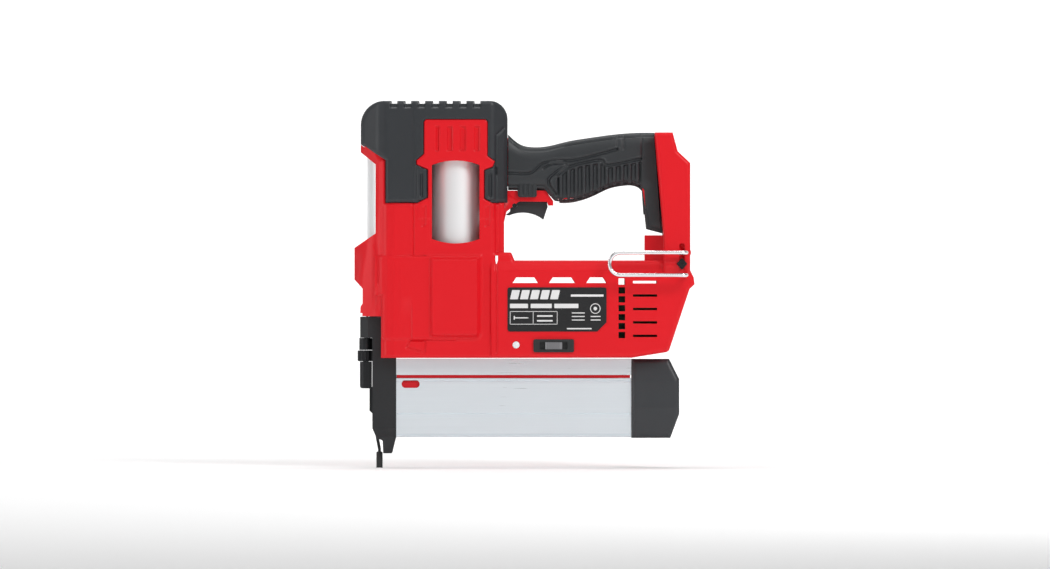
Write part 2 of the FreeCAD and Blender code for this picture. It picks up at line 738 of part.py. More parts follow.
def compressor_piston():
    z = wrist_low_z
    radius = comp_bore - run_gap
    body = rod("z", comp_x, 0, z - skirt_height, radius, skirt_height + crown_height)
    room = rod("z", comp_x, 0, z - skirt_height - 1, radius - 3.0, skirt_height + crown_height - 3.5)
    body = body.cut(room)
    ears = [box(comp_x - 12.5, comp_x - 6.0, -6.5, 6.5, z - 6.5, z + 10.6),
            box(comp_x + 6.0, comp_x + 12.5, -6.5, 6.5, z - 6.5, z + 10.6)]
    groove = tube("z", comp_x, 0, z + 7.0, radius + 1, radius - 1.6, 2.6)
    pin_hole = rod("x", comp_x - 30, 0, z, wrist_radius, 60)
    return trim(join(body, *ears), groove, pin_hole)


wrist_radius = 4.0
big_end_radius = 9.0
rod_thickness = 8.0


def wrist_pin():
    return rod("x", comp_x - 12.4, 0, wrist_low_z, wrist_radius, 24.8)


def compressor_seal():
    return tube("z", comp_x, 0, wrist_low_z + 7.1, comp_bore - run_gap, comp_bore - 1.6, 2.4)


def connecting_rod():
    """Rod with its crank pin held in the big end."""
    x0 = comp_x - rod_thickness / 2
    low = wrist_low_z - rod_length
    eye = rod("x", x0, 0, wrist_low_z, 7.0, rod_thickness)
    big = rod("x", x0, 0, low, big_end_radius, rod_thickness)
    shank = prism([(-4.0, low), (4.0, low), (3.4, wrist_low_z), (-3.4, wrist_low_z)],
                  x0 + 1.2, x0 + rod_thickness - 1.2, "yz")
    body = join(eye, big, shank)
    return trim(body, rod("x", x0 - 1, 0, wrist_low_z, wrist_radius + run_gap, rod_thickness + 2))


def drive_piston():
    z = drive_rest_z
    radius = drive_bore - run_gap
    body = rod("z", driver_x, 0, z, radius, 16.0)
    dish = rod("z", driver_x, 0, z + 10.0, radius - 3.0, 7.0)
    groove = tube("z", driver_x, 0, z + 6.0, radius + 1, radius - 1.6, 2.6)
    slot = box(driver_x - blade_length_x / 2 - run_gap, driver_x + blade_length_x / 2 + run_gap,
               -blade_width_y / 2 - run_gap, blade_width_y / 2 + run_gap, z - 1, z + 8)
    return trim(body, dish, groove, slot)


bumper_z = seat_top_z + 1.0
drive_rest_z = bumper_z + bumper_height + drive_stroke + 0.4
blade_tip_z = nose_tip_z - 1.0 + drive_stroke


def driver_blade():
    return box(driver_x - blade_length_x / 2, driver_x + blade_length_x / 2,
               -blade_width_y / 2, blade_width_y / 2, blade_tip_z, drive_rest_z + 7.9)


def drive_seal():
    return tube("z", driver_x, 0, drive_rest_z + 6.1, drive_bore - run_gap, drive_bore - 1.6, 2.4)


def bumper():
    body = rod("z", driver_x, 0, bumper_z, drive_bore - 0.2, bumper_height - 4.0)
    cone = Part.makeCone(drive_bore - 0.2, drive_bore - 4.5, 4.0,
                         Vector(driver_x, 0, bumper_z + bumper_height - 4.0))
    return trim(join(body, cone), rod("z", driver_x, 0, bumper_z - 1, 4.0, bumper_height + 2))


# ---------------------------------------------------------------- motor and planetary gears, along X

crank_face_x = comp_x + rod_thickness / 2 + 0.5
crank_disc = 3.2
bearing_x = crank_face_x + crank_disc + 2.6
bearing_length = 8.0
carrier_x = bearing_x + bearing_length + 1.2
carrier_thickness = 5.0
gear_x = carrier_x + carrier_thickness + 0.6
gearbox_end_x = gear_x + gear_width + 2.0
motor_x = gearbox_end_x + 1.0
sun_distance = gear_module * (sun_teeth + planet_teeth) / 2
ring_outer = gear_module * ring_teeth / 2 + 4.0
pressure_angle = math.radians(25)
addendum = 0.8
dedendum = 1.1
fan_x = motor_x + motor_length + 6.0
shaft_radius = 2.5


def gear_wire(teeth, x, internal=False):
    """Involute gear outline in yz about the gear's own axis, with a tooth on +Y, or a space for a ring."""
    pitch = gear_module * teeth / 2
    base = pitch * math.cos(pressure_angle)

    def involute(radius):
        angle = math.acos(min(1.0, base / radius))
        return math.tan(angle) - angle

    def half_angle(radius, play):
        """Half the angle that a tooth, or a ring's space, fills at a radius."""
        return math.pi / (2 * teeth) + play / pitch + involute(pitch) - involute(max(radius, base))

    if internal:
        low, high, play = pitch - addendum * gear_module, pitch + dedendum * gear_module, gear_backlash / 2
    else:
        low, high, play = pitch - dedendum * gear_module, pitch + addendum * gear_module, -gear_backlash / 2
    steps = 4
    radii = [low + (high - low) * i / steps for i in range(steps + 1)]
    points = []
    for tooth in range(teeth):
        centre = 2 * math.pi * tooth / teeth
        for side, order in ((-1, radii), (1, radii[::-1])):
            for radius in order:
                angle = centre + side * half_angle(radius, play)
                points.append(Vector(x, radius * math.cos(angle), radius * math.sin(angle)))
    return Part.makePolygon(points + [points[0]])


def gear(teeth, bore):
    body = Part.Face(gear_wire(teeth, gear_x)).extrude(Vector(gear_width, 0, 0))
    return body.cut(rod("x", gear_x - 1, 0, 0, bore, gear_width + 2))


def on_axis(shape):
    """Moves a shape drawn about y = z = 0 onto the motor's axis."""
    shape.translate(Vector(0, 0, crank_z))
    return shape


def planet_gear(number):
    shape = gear(planet_teeth, 2.5 + run_gap)
    shape.translate(Vector(0, sun_distance, 0))
    shape.rotate(Vector(0, 0, 0), axes["x"], 360 / planet_count * number)
    return on_axis(shape)


def sun_gear():
    return on_axis(gear(sun_teeth, shaft_radius))


def ring_gear():
    """Gearbox casing: ring teeth, the front plate and the seat of the crank bearing."""
    start = bearing_x - 1.0
    body = rod("x", start, 0, 0, ring_outer, gearbox_end_x - start)
    teeth = Part.Face(gear_wire(ring_teeth, gear_x - 0.3, True)).extrude(Vector(gear_width + 5, 0, 0))
    carrier_room = rod("x", carrier_x - 0.8, 0, 0, ring_outer - 4.6, carrier_thickness + 1.1)
    bearing_seat = rod("x", bearing_x, 0, 0, 13.0, bearing_length + 2)
    shaft_hole = rod("x", start - 1, 0, 0, 9.0, 10)
    return on_axis(trim(body, teeth, carrier_room, bearing_seat, shaft_hole))


def planet_carrier():
    disc = rod("x", carrier_x, 0, 0, 18.0, carrier_thickness)
    shaft = rod("x", crank_face_x + crank_disc, 0, 0, 6.0, carrier_x - crank_face_x - crank_disc + 1)
    pins = []
    for number in range(planet_count):
        pin = rod("x", carrier_x + 1, sun_distance, 0, 2.5, gear_x + gear_width - carrier_x - 1)
        pin.rotate(Vector(0, 0, 0), axes["x"], 360 / planet_count * number)
        pins.append(pin)
    return on_axis(join(disc, shaft, *pins))


def crank_wheel():
    """Disc with a heel weight opposite the crank pin, which sits at the bottom of its turn."""
    disc = rod("x", crank_face_x, 0, 0, 12.0, crank_disc)
    arm = box(crank_face_x, crank_face_x + crank_disc, -9.0, 9.0, -crank_throw, 0)
    knob = rod("x", crank_face_x, 0, -crank_throw, 9.0, crank_disc)
    weight = rod("x", crank_face_x, 0, 0, 25.0, crank_disc).common(
        box(crank_face_x - 1, crank_face_x + 9, -30, 30, 2.0, 30))
    return on_axis(join(disc, arm, knob, weight).cut(rod("x", crank_face_x - 1, 0, 0, 2.0, 3)))


def bearing(x, inner, outer, length):
    return on_axis(tube("x", x, 0, 0, outer, inner, length))


def ball_bearings():
    crank = bearing(bearing_x, 6.0 + run_gap, 13.0, bearing_length)
    front = bearing(motor_x + 0.2, shaft_radius + run_gap, 8.0, 5.0)
    rear = bearing(motor_x + motor_length - 5.2, shaft_radius + run_gap, 8.0, 5.0)
    return [crank, front, rear]


def motor_can():
    body = rod("x", motor_x, 0, 0, motor_radius, motor_length)
    room = rod("x", motor_x + 5.4, 0, 0, 14.0, motor_length - 10.8)
    seats = [rod("x", motor_x - 1, 0, 0, 8.0, 6.6), rod("x", motor_x + motor_length - 5.6, 0, 0, 8.0, 8)]
    slots = []
    for number in range(4):
        slot = box(motor_x + motor_length - 16, motor_x + motor_length - 7, 12.0, 25.0, -4.0, 4.0)
        slot.rotate(Vector(0, 0, 0), axes["x"], 45 + 90 * number)
        slots.append(slot)
    return on_axis(trim(body, room, *seats, *slots))


def motor_rotor():
    shaft = rod("x", gear_x, 0, 0, shaft_radius, fan_x + 9.0 - gear_x)
    core = rod("x", motor_x + 10, 0, 0, 13.0, motor_length - 24)
    commutator = rod("x", motor_x + motor_length - 13.6, 0, 0, 7.5, 7.6)
    slots = []
    for number in range(12):
        slot = box(motor_x + 9, motor_x + motor_length - 13.8, 9.5, 14.0, -0.9, 0.9)
        slot.rotate(Vector(0, 0, 0), axes["x"], 30 * number)
        slots.append(slot)
    return on_axis(join(trim(core, *slots), shaft, commutator))


def cooling_fan():
    hub = rod("x", fan_x, 0, 0, 6.0, 8.0)
    plate = rod("x", fan_x, 0, 0, 20.0, 1.4)
    blades = []
    for number in range(9):
        blade = box(fan_x, fan_x + 7.0, 5.0, 19.5, -0.8, 0.8)
        blade.rotate(Vector(fan_x, 5.0, 0), axes["x"], 22)
        blade.rotate(Vector(0, 0, 0), axes["x"], 40 * number)
        blades.append(blade)
    fan = join(hub, plate, *blades)
    return on_axis(trim(fan, rod("x", fan_x - 1, 0, 0, shaft_radius, 12)))


# ---------------------------------------------------------------- nose and contact arm

cover_plate_half = 6.0


def snout_points():
    x = driver_x
    return [
        (x - 12.8, hood_bottom_z + 1),
        (x + 6.9, hood_bottom_z + 1),
        (x + 6.9, magazine_bottom_z),
        (x + 3.8, nose_tip_z + 0.9),
        (x + 3.2, nose_tip_z),
        (x - 3.8, nose_tip_z),
        (x - 4.3, nose_tip_z + 10.5),
        (x - 5.8, nose_tip_z + 11.5),
        (x - 9.1, nose_tip_z + 11.9),
        (x - 12.8, nose_tip_z + 21.0),
    ]


def nose_body():
    snout = prism(snout_points(), -snout_width, snout_width)
    front_view = [
        (-7.5, nose_tip_z),
        (7.5, nose_tip_z),
        (9.0, magazine_bottom_z),
        (snout_width, magazine_bottom_z + 8),
        (snout_width, hood_top_z + 9),
        (-snout_width, hood_top_z + 9),
        (-snout_width, magazine_bottom_z + 8),
        (-9.0, magazine_bottom_z),
    ]
    taper = prism(front_view, driver_x - 60, driver_x + 60, "yz")
    snout = snout.common(taper)
    hood_plan = [(driver_x - 23.0, -7.0), (driver_x - 16.5, -snout_width), (driver_x + 16.5, -snout_width),
                 (driver_x + 16.5, snout_width), (driver_x - 16.5, snout_width), (driver_x - 23.0, 7.0)]
    hood = prism(hood_plan, hood_bottom_z, hood_top_z, "xy")
    seat = rod("z", driver_x, 0, hood_top_z - 1, nose_seat_radius, seat_top_z - hood_top_z + 1)
    channel = box(driver_x - blade_length_x / 2 - 0.15, driver_x + blade_length_x / 2 + 0.15,
                  -blade_width_y / 2 - 0.15, blade_width_y / 2 + 0.15, nose_tip_z - 1, seat_top_z + 1)
    relief = rod("z", driver_x, 0, hood_top_z, 4.0, 40)
    slot_rear_x = contact_x + wheel_radius + 1.0
    wheel_slot = box(driver_x - 60, slot_rear_x, -8.2, 8.2, magazine_bottom_z + 34, hood_bottom_z)
    arm_slot = box(driver_x - 60, driver_x - 1.75, -cover_plate_half - 0.1, cover_plate_half + 0.1,
                   nose_tip_z - 1, hood_bottom_z - 19.0)
    cup_bore = rod("z", contact_x, 0, hood_bottom_z - 5, 6.0, 19.0)
    strip_hole = box(strip_x - 0.4, strip_x + 2.2, -2.2, 2.2, hood_bottom_z, seat_top_z + 1)
    feed = box(driver_x, driver_x + 20, -0.9, 0.9, nose_tip_z + 4, nose_tip_z + 63)
    shape = join(snout, hood, seat)
    shape = trim(shape, channel, relief, wheel_slot, arm_slot, cup_bore, strip_hole, feed)
    return trim(shape, *nose_screw_holes())


nose_screw_z = [magazine_bottom_z + 14, magazine_bottom_z + 54]


def nose_screw_holes():
    return [rod("x", driver_x + 1.9, y, z, 1.25, 5.2) for z in nose_screw_z for y in (-8.6, 8.6)]


def nose_cover():
    """Front plate that closes the driver channel."""
    x = driver_x
    points = [
        (x - 3.8, nose_tip_z + 0.3),
        (x - 1.8, nose_tip_z + 0.3),
        (x - 1.8, hood_bottom_z - 19.4),
        (x - 6.6, hood_bottom_z - 19.4),
        (x - 6.6, nose_tip_z + 28),
        (x - 3.8, nose_tip_z + 22),
    ]
    return prism(points, -cover_plate_half, cover_plate_half)


def nose_screws():
    """Four screws that hold the magazine rail's bracket to the nose, from behind."""
    return [rod("x", driver_x + 2.0, y, z, 1.2, 4.9) for z in nose_screw_z for y in (-8.6, 8.6)]


cup_low_z = hood_bottom_z - 10.2
stop_z = hood_bottom_z + 13.8
strip_x = contact_x + 0.3


def contact_carriage():
    """Upper half of the contact arm: a cup under the spring and a flat strip that guides it in the nose."""
    cup = tube("z", contact_x, 0, cup_low_z, 5.5, 4.7, 10.0)
    floor = rod("z", contact_x, 0, cup_low_z, 5.5, 2.0)
    strip = box(strip_x, strip_x + 1.8, -1.9, 1.9, cup_low_z + 1, seat_top_z - contact_travel - 2.0)
    return join(cup, floor, strip)


def contact_spring():
    return spring(contact_x, 0, cup_low_z + 2.9, 3.5, 0.55, 6.0, stop_z - cup_low_z - 4.0)


def depth_wheel():
    z = cup_low_z - 0.3 - wheel_height
    body = rod("z", contact_x, 0, z, wheel_radius, wheel_height)
    body = body.makeChamfer(0.7, edges_on(body, "Z", z) + edges_on(body, "Z", z + wheel_height))
    grooves = []
    for number in range(14):
        angle = 2 * math.pi * number / 14
        grooves.append(rod("z", contact_x + (wheel_radius + 0.3) * math.cos(angle),
                           (wheel_radius + 0.3) * math.sin(angle), z - 1, 1.0, wheel_height + 2))
    return trim(body, rod("z", contact_x, 0, z - 1, 2.4 + run_gap, wheel_height + 2), *grooves)


def contact_foot():
    """Lower half of the contact arm: threaded stud, block, bent strip and a round pin for the tip."""
    top = cup_low_z - 0.6 - wheel_height
    barrel = rod("z", contact_x, 0, top - 22.3, 5.0, 22.3)
    barrel = barrel.makeChamfer(1.2, edges_on(barrel, "Z", top - 22.3))
    block = join(barrel, box(contact_x, contact_x + 5.0, -5.0, 5.0, top - 22.3, top))
    stud = rod("z", contact_x, 0, top - 1, 2.4, 8.6)
    low = nose_tip_z
    strip = [
        (contact_x + 3.1, top - 21),
        (contact_x + 5.7, top - 21),
        (contact_x + 5.7, low + 36.5),
        (-1.4, low + 32.0),
        (-1.4, low + 18.0),
        (1.2, low + 4.0),
        (1.2, low - 2.0),
        (-1.2, low - 2.0),
        (-1.2, low + 3.0),
        (-3.8, low + 17.0),
        (-3.8, low + 31.0),
        (contact_x + 3.1, low + 35.5),
    ]
    arm = prism(strip, -3.0, 3.0)
    narrow = prism([(-3.2, low + 40), (-3.2, low + 24), (-1.2, low + 12), (-1.2, low - 3),
                    (1.2, low - 3), (1.2, low + 12), (3.2, low + 24), (3.2, low + 40)], -20, 20, "yz")
    lower = arm.common(join(narrow, box(-20, 20, -4, 4, low + 39, top)))
    return join(block, stud, lower)


def contact_tip():
    body = rod("z", 0, 0, 0, tip_radius, tip_height)
    body = body.makeChamfer(0.8, edges_on(body, "Z", tip_height))
    pin_half = 1.2 + run_gap
    return trim(body, box(-pin_half, pin_half, -1.25, 1.25, nose_tip_z - 2.0 - run_gap, tip_height + 1))


# ---------------------------------------------------------------- magazine


def magazine_rail():
    """Fixed extrusion: a closed box under the case and the fin that guides the brads."""
    low, high = channel_top_z + 2.8, magazine_top_z
    outer = box(magazine_front_x, magazine_rear_x, -magazine_width, magazine_width, low, high)
    inside = magazine_width - 1.8
    room = box(magazine_front_x - 1, magazine_rear_x + 1, -inside, inside, low + 1.8, high - 1.8)
    fin = box(magazine_front_x, magazine_rear_x - 11.5, -5.0, -1.0, magazine_bottom_z + 3.6, low + 1)
    return join(outer.cut(room), fin)


def magazine_liner():
    """Two plastic strips that the sliding channel runs along."""
    low = channel_top_z + 0.3
    return [box(magazine_front_x + 0.5, magazine_rear_x - 1, y - 1.4, y + 1.4, low, channel_top_z + 2.8)
            for y in (-magazine_width + 1.7, magazine_width - 1.7)]


def channel_section(draw_in):
    """Half of the sliding channel's outside, as (y, z) from the bottom centre up."""
    w, z = magazine_width - draw_in, magazine_bottom_z
    return [
        (0, z + draw_in),
        (w - 1.5, z + draw_in),
        (w - 0.5, z + 1.2 + draw_in),
        (w - 0.5, z + 1.7 + draw_in),
        (w - 1.1, z + 2.0 + draw_in),
        (w - 1.1, z + 2.5 + draw_in),
        (w - 0.5, z + 2.8 + draw_in),
        (w - 0.5, z + 18.8),
        (w - 0.9, z + 19.0),
        (w - 0.9, z + 19.5),
        (w, z + 20.4),
        (w, z + 45.8),
        (w - 0.6, z + 46.4),
        (w - 0.6, z + 47.0),
        (w, z + 47.6),
        (w, channel_top_z),
        (0, channel_top_z),
    ]


def magazine_channel():
    """Sliding extrusion that closes the brad track."""
    half = channel_section(0.0)
    outline_points = half[:-1] + [(-y, z) for y, z in reversed(half[1:-1])]
    outer = prism(outline_points, magazine_front_x, magazine_rear_x, "yz")
    w = magazine_width - magazine_wall - 0.5
    start, end = magazine_front_x - 1, magazine_rear_x + 1
    room = box(start, end, -w, w, magazine_bottom_z + 2.0, channel_top_z - 1.5)
    mouth = box(start, end, -w + 2.4, w - 2.4, magazine_bottom_z + 10, channel_top_z + 5)
    wx, wz = magazine_front_x + 12.0, channel_top_z - 4.8
    slot = prism(plate_corners(wx, wz, 7.5, 3.2, 3.1), -20, -w + 1)
    return trim(outer, room, mouth, slot)


pusher_x = magazine_front_x + 2.4
pusher_length = 24.0


def pusher():
    """Plastic follower that straddles the rail's fin and pushes the brads forward."""
    w = magazine_width - magazine_wall - 0.5 - fit_gap
    body = box(pusher_x, pusher_x + pusher_length, -w, w, magazine_bottom_z + 2.6, channel_top_z - 2.0)
    fin_end = pusher_x + pusher_length + 1
    fin_slot = box(pusher_x - 1, fin_end, -5.3, -0.7, magazine_bottom_z + 3.2, channel_top_z + 2)
    coil_room = rod("y", pusher_x + 15, 1.5, magazine_bottom_z + 18, 7.5, 20)
    return trim(body, fin_slot, coil_room)


def pusher_spring():
    """Rolled constant force spring in the follower's pocket."""
    return tube("y", pusher_x + 15, 2.0, magazine_bottom_z + 18, 6.8, 4.2, 7.6)


def cap_points():
    x, z = magazine_rear_x, magazine_bottom_z - 0.5
    return [
        (x + 0.2, z),
        (x + end_cap_length - 7.4, z),
        (x + end_cap_length, z + 19.9),
        (x + end_cap_length, z + 49.0),
        (x + end_cap_length - 8.3, z + 65.6),
        (x + 0.2, z + 65.6),
    ]


latch_low_z = magazine_bottom_z + 22.0
latch_high_z = magazine_bottom_z + 46.0


def magazine_end_cap():
    """Pull block at the rear, with a plug that holds the channel."""
    outer = prism(cap_points(), -end_cap_width, end_cap_width)
    outer = soften(outer, 2.5, ("Y", -end_cap_width), ("Y", end_cap_width))
    room = inset(cap_points(), 3.0, -end_cap_width + 3.0, end_cap_width - 3.0)
    w = magazine_width - magazine_wall - 0.5 - fit_gap
    plug_low, plug_high = magazine_bottom_z + 2.2, channel_top_z - 8
    plug = box(magazine_rear_x - 9.0, magazine_rear_x + 4, -w + 1, w - 1, plug_low, plug_high)
    slot = box(magazine_rear_x + end_cap_length - 16, magazine_rear_x + end_cap_length + 5, -8.0, 8.0,
               latch_low_z, latch_high_z)
    pin = rod("y", latch_x, -end_cap_width + 1.5, latch_z, 1.6, 2 * end_cap_width - 3.0)
    return join(outer.cut([room, slot]), plug, pin)


latch_x = magazine_rear_x + end_cap_length - 6.0
latch_z = latch_high_z - 4.0


def magazine_latch():
    """Squeeze lever in the end cap, on a pin near its top."""
    x = magazine_rear_x + end_cap_length
    points = [
        (x - 10.0, latch_high_z - 0.8),
        (x - 2.2, latch_high_z - 0.8),
        (x - 0.3, latch_high_z - 4.0),
        (x - 0.3, latch_low_z + 1.6),
        (x - 3.3, latch_low_z + 1.6),
        (x - 4.0, latch_low_z + 14.0),
        (x - 10.0, latch_high_z - 7.0),
    ]
    body = prism(points, -7.5, 7.5)
    return trim(body, rod("y", latch_x, -20, latch_z, 1.6 + run_gap, 40))


# ---------------------------------------------------------------- trigger, switches and electrics


def trigger():
    points = [
        (tower_rear_x + 1.4, grip_z - 10.4),
        (tower_rear_x + 5.0, grip_z - 7.4),
        (tower_rear_x + 5.0, grip_z + 1.5, 2.0),
        (tower_rear_x + 35.4, grip_z + 1.5),
        (tower_rear_x + 36.3, grip_z - 3.6, 1.0),
        (tower_rear_x + 32.6, grip_z - 14.7, 1.2),
    ]
    face = outline(points)
    body = extrude(face, "xz", 12.0)
    body.translate(Vector(0, -6.0, 0))
    finger = rod("y", tower_rear_x + 15.5, -10, grip_z - 36.5, 28.0, 20)
    body = body.cut(finger)
    return trim(body, rod("y", pin_x, -20, pin_z, pin_radius + run_gap, 40))


def trigger_pin():
    return rod("y", pin_x, -12.5, pin_z, pin_radius, 25.0)


def trigger_spring():
    return spring(tower_rear_x + 30.0, 0, grip_z + 2.2, 2.2, 0.4, 4.0, 6.2)


switch_low_z = grip_z + 9.3


def trigger_switch():
    body = box(tower_rear_x + 11.0, tower_rear_x + 35.0, -5.8, 5.8, switch_low_z, switch_low_z + 16.0)
    return trim(body, rod("z", plunger_x, 0, switch_low_z - 1, 1.6, 8.0))


plunger_x = tower_rear_x + 17.5


def switch_plunger():
    return rod("z", plunger_x, 0, grip_z + 1.7, 1.5, 8.6)


def mode_bezel():
    """Surround of the mode selector, with the bed that its knob slides in."""
    x, z = switch_x, switch_z
    corners = plate_corners(x, z, switch_length / 2, switch_height / 2, 1.5)
    outer = prism(corners, -case_width - 1.6, -case_width - run_gap)
    back = box(x - 12.8, x + 12.8, -case_width - 0.5, -case_width + 5.0, z - 3.2, z + 3.2)
    bed = box(x - 11.5, x + 11.5, -case_width - 2, -case_width + 2.2, z - 3.1, z + 3.1)
    return trim(join(outer, back), bed)


def mode_slider():
    x, z = switch_x, switch_z
    knob = box(x - 7.0, x + 7.0, -case_width - 2.8, -case_width + 2.0, z - 2.9, z + 2.9)
    grooves = []
    for n in range(6):
        start = x - 5.4 + 1.8 * n
        grooves.append(box(start, start + 0.8, -case_width - 3, -case_width - 2.2, z - 3.5, z + 3.5))
    return trim(knob, *grooves)


def indicator_lens():
    stem = rod("y", led_x, -case_width - 0.6, led_z, led_radius, wall + 1.6)
    dome = Part.makeSphere(led_radius * 1.35, Vector(led_x, -case_width + 2.0, led_z))
    dome = dome.common(rod("y", led_x, -case_width - 4, led_z, led_radius, 5.0))
    return join(stem, dome)


def rating_plate():
    x0, x1 = tower_rear_x + 2.9, column_front_x - 32.0
    z0, z1 = case_top_z - 59.0, case_top_z - 22.4
    points = [(x0, z0, 2.0), (x1 - 7.6, z0), (x1, z0 + 7.6), (x1, z1, 2.0), (x0, z1, 2.0)]
    return prism(points, -case_width - 0.5, -case_width - 0.01)


def control_board():
    """Circuit board with its capacitors and power transistors, behind the fan."""
    x0, x1 = fan_x + 13.0, column_front_x + 12.0
    z0, z1 = body_bottom_z + 9.0, case_top_z - 20.0
    board = box(x0, x1, 14.0, 15.6, z0 + 4, z1)
    parts = [rod("y", x0 + 8 + 11 * n, 3.0, z1 - 12, 4.0, 11.5) for n in range(2)]
    parts += [box(x0 + 5 + 9 * n, x0 + 11 + 9 * n, 11.5, 14.5, z0 + 10, z0 + 19) for n in range(3)]
    parts.append(box(x0 + 6, x0 + 24, 8.0, 14.5, z1 - 34, z1 - 27))
    return join(board, *parts)


def battery_dock():
    """Rails that the battery pack slides down onto."""
    low, high = bay_low_z + fit_gap, grip_z + 30.0
    half = bay_half - fit_gap
    plate = box(bay_front_x - 3.4, bay_front_x - 0.4, -half, half, low, high)
    parts = [plate]
    for side in (-1, 1):
        web = box(bay_front_x - 1, column_rear_x - 0.4, half - 2.0, half, low, high)
        lip = box(column_rear_x - 3.6, column_rear_x - 0.4, half - 6.0, half, low, high)
        for piece in (web, lip):
            parts.append(piece if side > 0 else mirror_y(piece))
    parts.append(box(bay_front_x - 1, column_rear_x - 2.0, -half, half, low, low + 3.0))
    return join(*parts)


terminal_low_z = bay_low_z + 10.0


def terminal_block():
    body = box(bay_front_x - 0.3, bay_front_x + 4.6, -13.0, 13.0, terminal_low_z, terminal_low_z + 32.0)
    low, high = terminal_low_z + 4, terminal_low_z + 28
    slots = [box(bay_front_x + 0.5, bay_front_x + 6, y - 1.3, y + 1.3, low, high)
             for y in terminal_ys]
    return trim(body, *slots)


terminal_ys = (-9.0, -3.0, 3.0, 9.0)


def battery_terminals():
    low, high = terminal_low_z + 7, terminal_low_z + 25
    return [box(bay_front_x + 0.6, bay_front_x + 5.8, y - 0.5, y + 0.5, low, high)
            for y in terminal_ys]


# ---------------------------------------------------------------- belt hook and fasteners


def belt_hook():
    """Bent wire: two legs joined by a half circle, with ends turned into the housing."""
    y = -column_width - hook_stand_off
    bend = 3.6
    x1 = hook_end_x
    x0 = column_rear_x - hook_length + hook_half_height
    end_y = -column_width + 3.5
    edges = []
    for up in (1, -1):
        z = hook_z + up * hook_half_height
        corner = Vector(x1 - bend * (1 - math.sqrt(0.5)), y + bend * (1 - math.sqrt(0.5)), z)
        leg = [
            Part.LineSegment(Vector(x1, end_y, z), Vector(x1, y + bend, z)).toShape(),
            Part.Arc(Vector(x1, y + bend, z), corner, Vector(x1 - bend, y, z)).toShape(),
            Part.LineSegment(Vector(x1 - bend, y, z), Vector(x0, y, z)).toShape(),
        ]
        edges.extend(leg if up > 0 else leg[::-1])
        if up > 0:
            high = Vector(x0, y, hook_z + hook_half_height)
            low = Vector(x0, y, hook_z - hook_half_height)
            edges.append(Part.Arc(high, Vector(x0 - hook_half_height, y, hook_z), low).toShape())
    path = Part.Wire(Part.__sortEdges__(edges))
    start = Vector(x1, end_y, hook_z + hook_half_height)
    profile = Part.Wire(Part.makeCircle(hook_radius, start, Vector(0, 1, 0)))
    return path.makePipeShell([profile], True, False)


def belt_hook_screw():
    head = rod("y", hook_x, -column_width - 4.0, hook_z, 3.0, 2.4)
    socket = prism([(hook_x + 1.5 * math.cos(a), hook_z + 1.5 * math.sin(a))
                    for a in (math.pi / 3 * n for n in range(6))], -column_width - 5, -column_width - 2.6)
    shank = rod("y", hook_x, -column_width - 2.0, hook_z, hook_screw_radius, 7.5)
    return trim(join(head, shank), socket)


def belt_hook_clamp():
    """Lozenge shaped plate under the hook's screw."""
    y0, y1 = -column_width - 1.6, -column_width - 0.02
    points = [
        (hook_x - 4.6, hook_z),
        (hook_x, hook_z - 5.2, 1.0),
        (hook_x + 4.4, hook_z),
        (hook_x, hook_z + 5.2, 1.0),
    ]
    body = prism(points, y0, y1)
    return trim(body, rod("y", hook_x, -60, hook_z, hook_screw_radius + run_gap, 60))


def housing_screws():
    """Screws that hold the halves together, from the right side."""
    screws = []
    for x, z, half in screw_places:
        head = rod("y", x, half - 8.0 + 0.02, z, screw_radius + 1.5, 2.6)
        shank = rod("y", x, -12.0, z, screw_radius, half + 4.5)
        socket = rod("y", x, half - 6.6, z, 1.1, 2.0)
        screws.append(trim(join(head, shank), socket))
    return screws


# ---------------------------------------------------------------- every node


def main():
    os.makedirs("parts", exist_ok=True)
    save("housing_left", housing(-1))
    save("housing_right", housing(1))
    save("top_cover", top_cover())
    save("grip_left", grip_half(-1))
    save("grip_right", grip_half(1))
    save("drive_cylinder", drive_cylinder())
    save("compressor_cylinder", compressor_cylinder())
    save("cylinder_head", cylinder_head())
    save("air_valve", air_valve())
    save("compressor_piston", compressor_piston())
    save("wrist_pin", wrist_pin())
    save("compressor_seal", compressor_seal())
    save("connecting_rod", connecting_rod())
    save("drive_piston", drive_piston())
    save("driver_blade", driver_blade())
    save("drive_seal", drive_seal())
    save("bumper", bumper())
    for number in range(planet_count):
        save(f"planet_gear_{number + 1}", planet_gear(number))
    save("sun_gear", sun_gear())
    save("ring_gear", ring_gear())
    save("planet_carrier", planet_carrier())
    save("crank_wheel", crank_wheel())
    save("ball_bearings", *ball_bearings())
    save("motor_can", motor_can())
    save("motor_rotor", motor_rotor())
    save("cooling_fan", cooling_fan())
    save("nose_body", nose_body())
    save("nose_cover", nose_cover())
    save("nose_screws", *nose_screws())
    save("contact_carriage", contact_carriage())
    save("contact_spring", contact_spring())
    save("depth_wheel", depth_wheel())
    save("contact_foot", contact_foot())
    save("contact_tip", contact_tip())
    save("magazine_rail", magazine_rail())
    save("magazine_liner", *magazine_liner())
    save("magazine_channel", magazine_channel())
    save("magazine_end_cap", magazine_end_cap())
    save("magazine_latch", magazine_latch())
    save("pusher", pusher())
    save("pusher_spring", pusher_spring())
    save("trigger", trigger())
    save("trigger_pin", trigger_pin())
    save("trigger_spring", trigger_spring())
    save("trigger_switch", trigger_switch())
    save("switch_plunger", switch_plunger())
    save("mode_bezel", mode_bezel())
    save("mode_slider", mode_slider())
    save("indicator_lens", indicator_lens())
    save("rating_plate", rating_plate())
    save("control_board", control_board())
    save("battery_dock", battery_dock())
    save("terminal_block", terminal_block())
    save("battery_terminals", *battery_terminals())
    save("belt_hook", belt_hook())
    save("belt_hook_screw", belt_hook_screw())
    save("belt_hook_clamp", belt_hook_clamp())
    save("housing_screws", *housing_screws())


main()
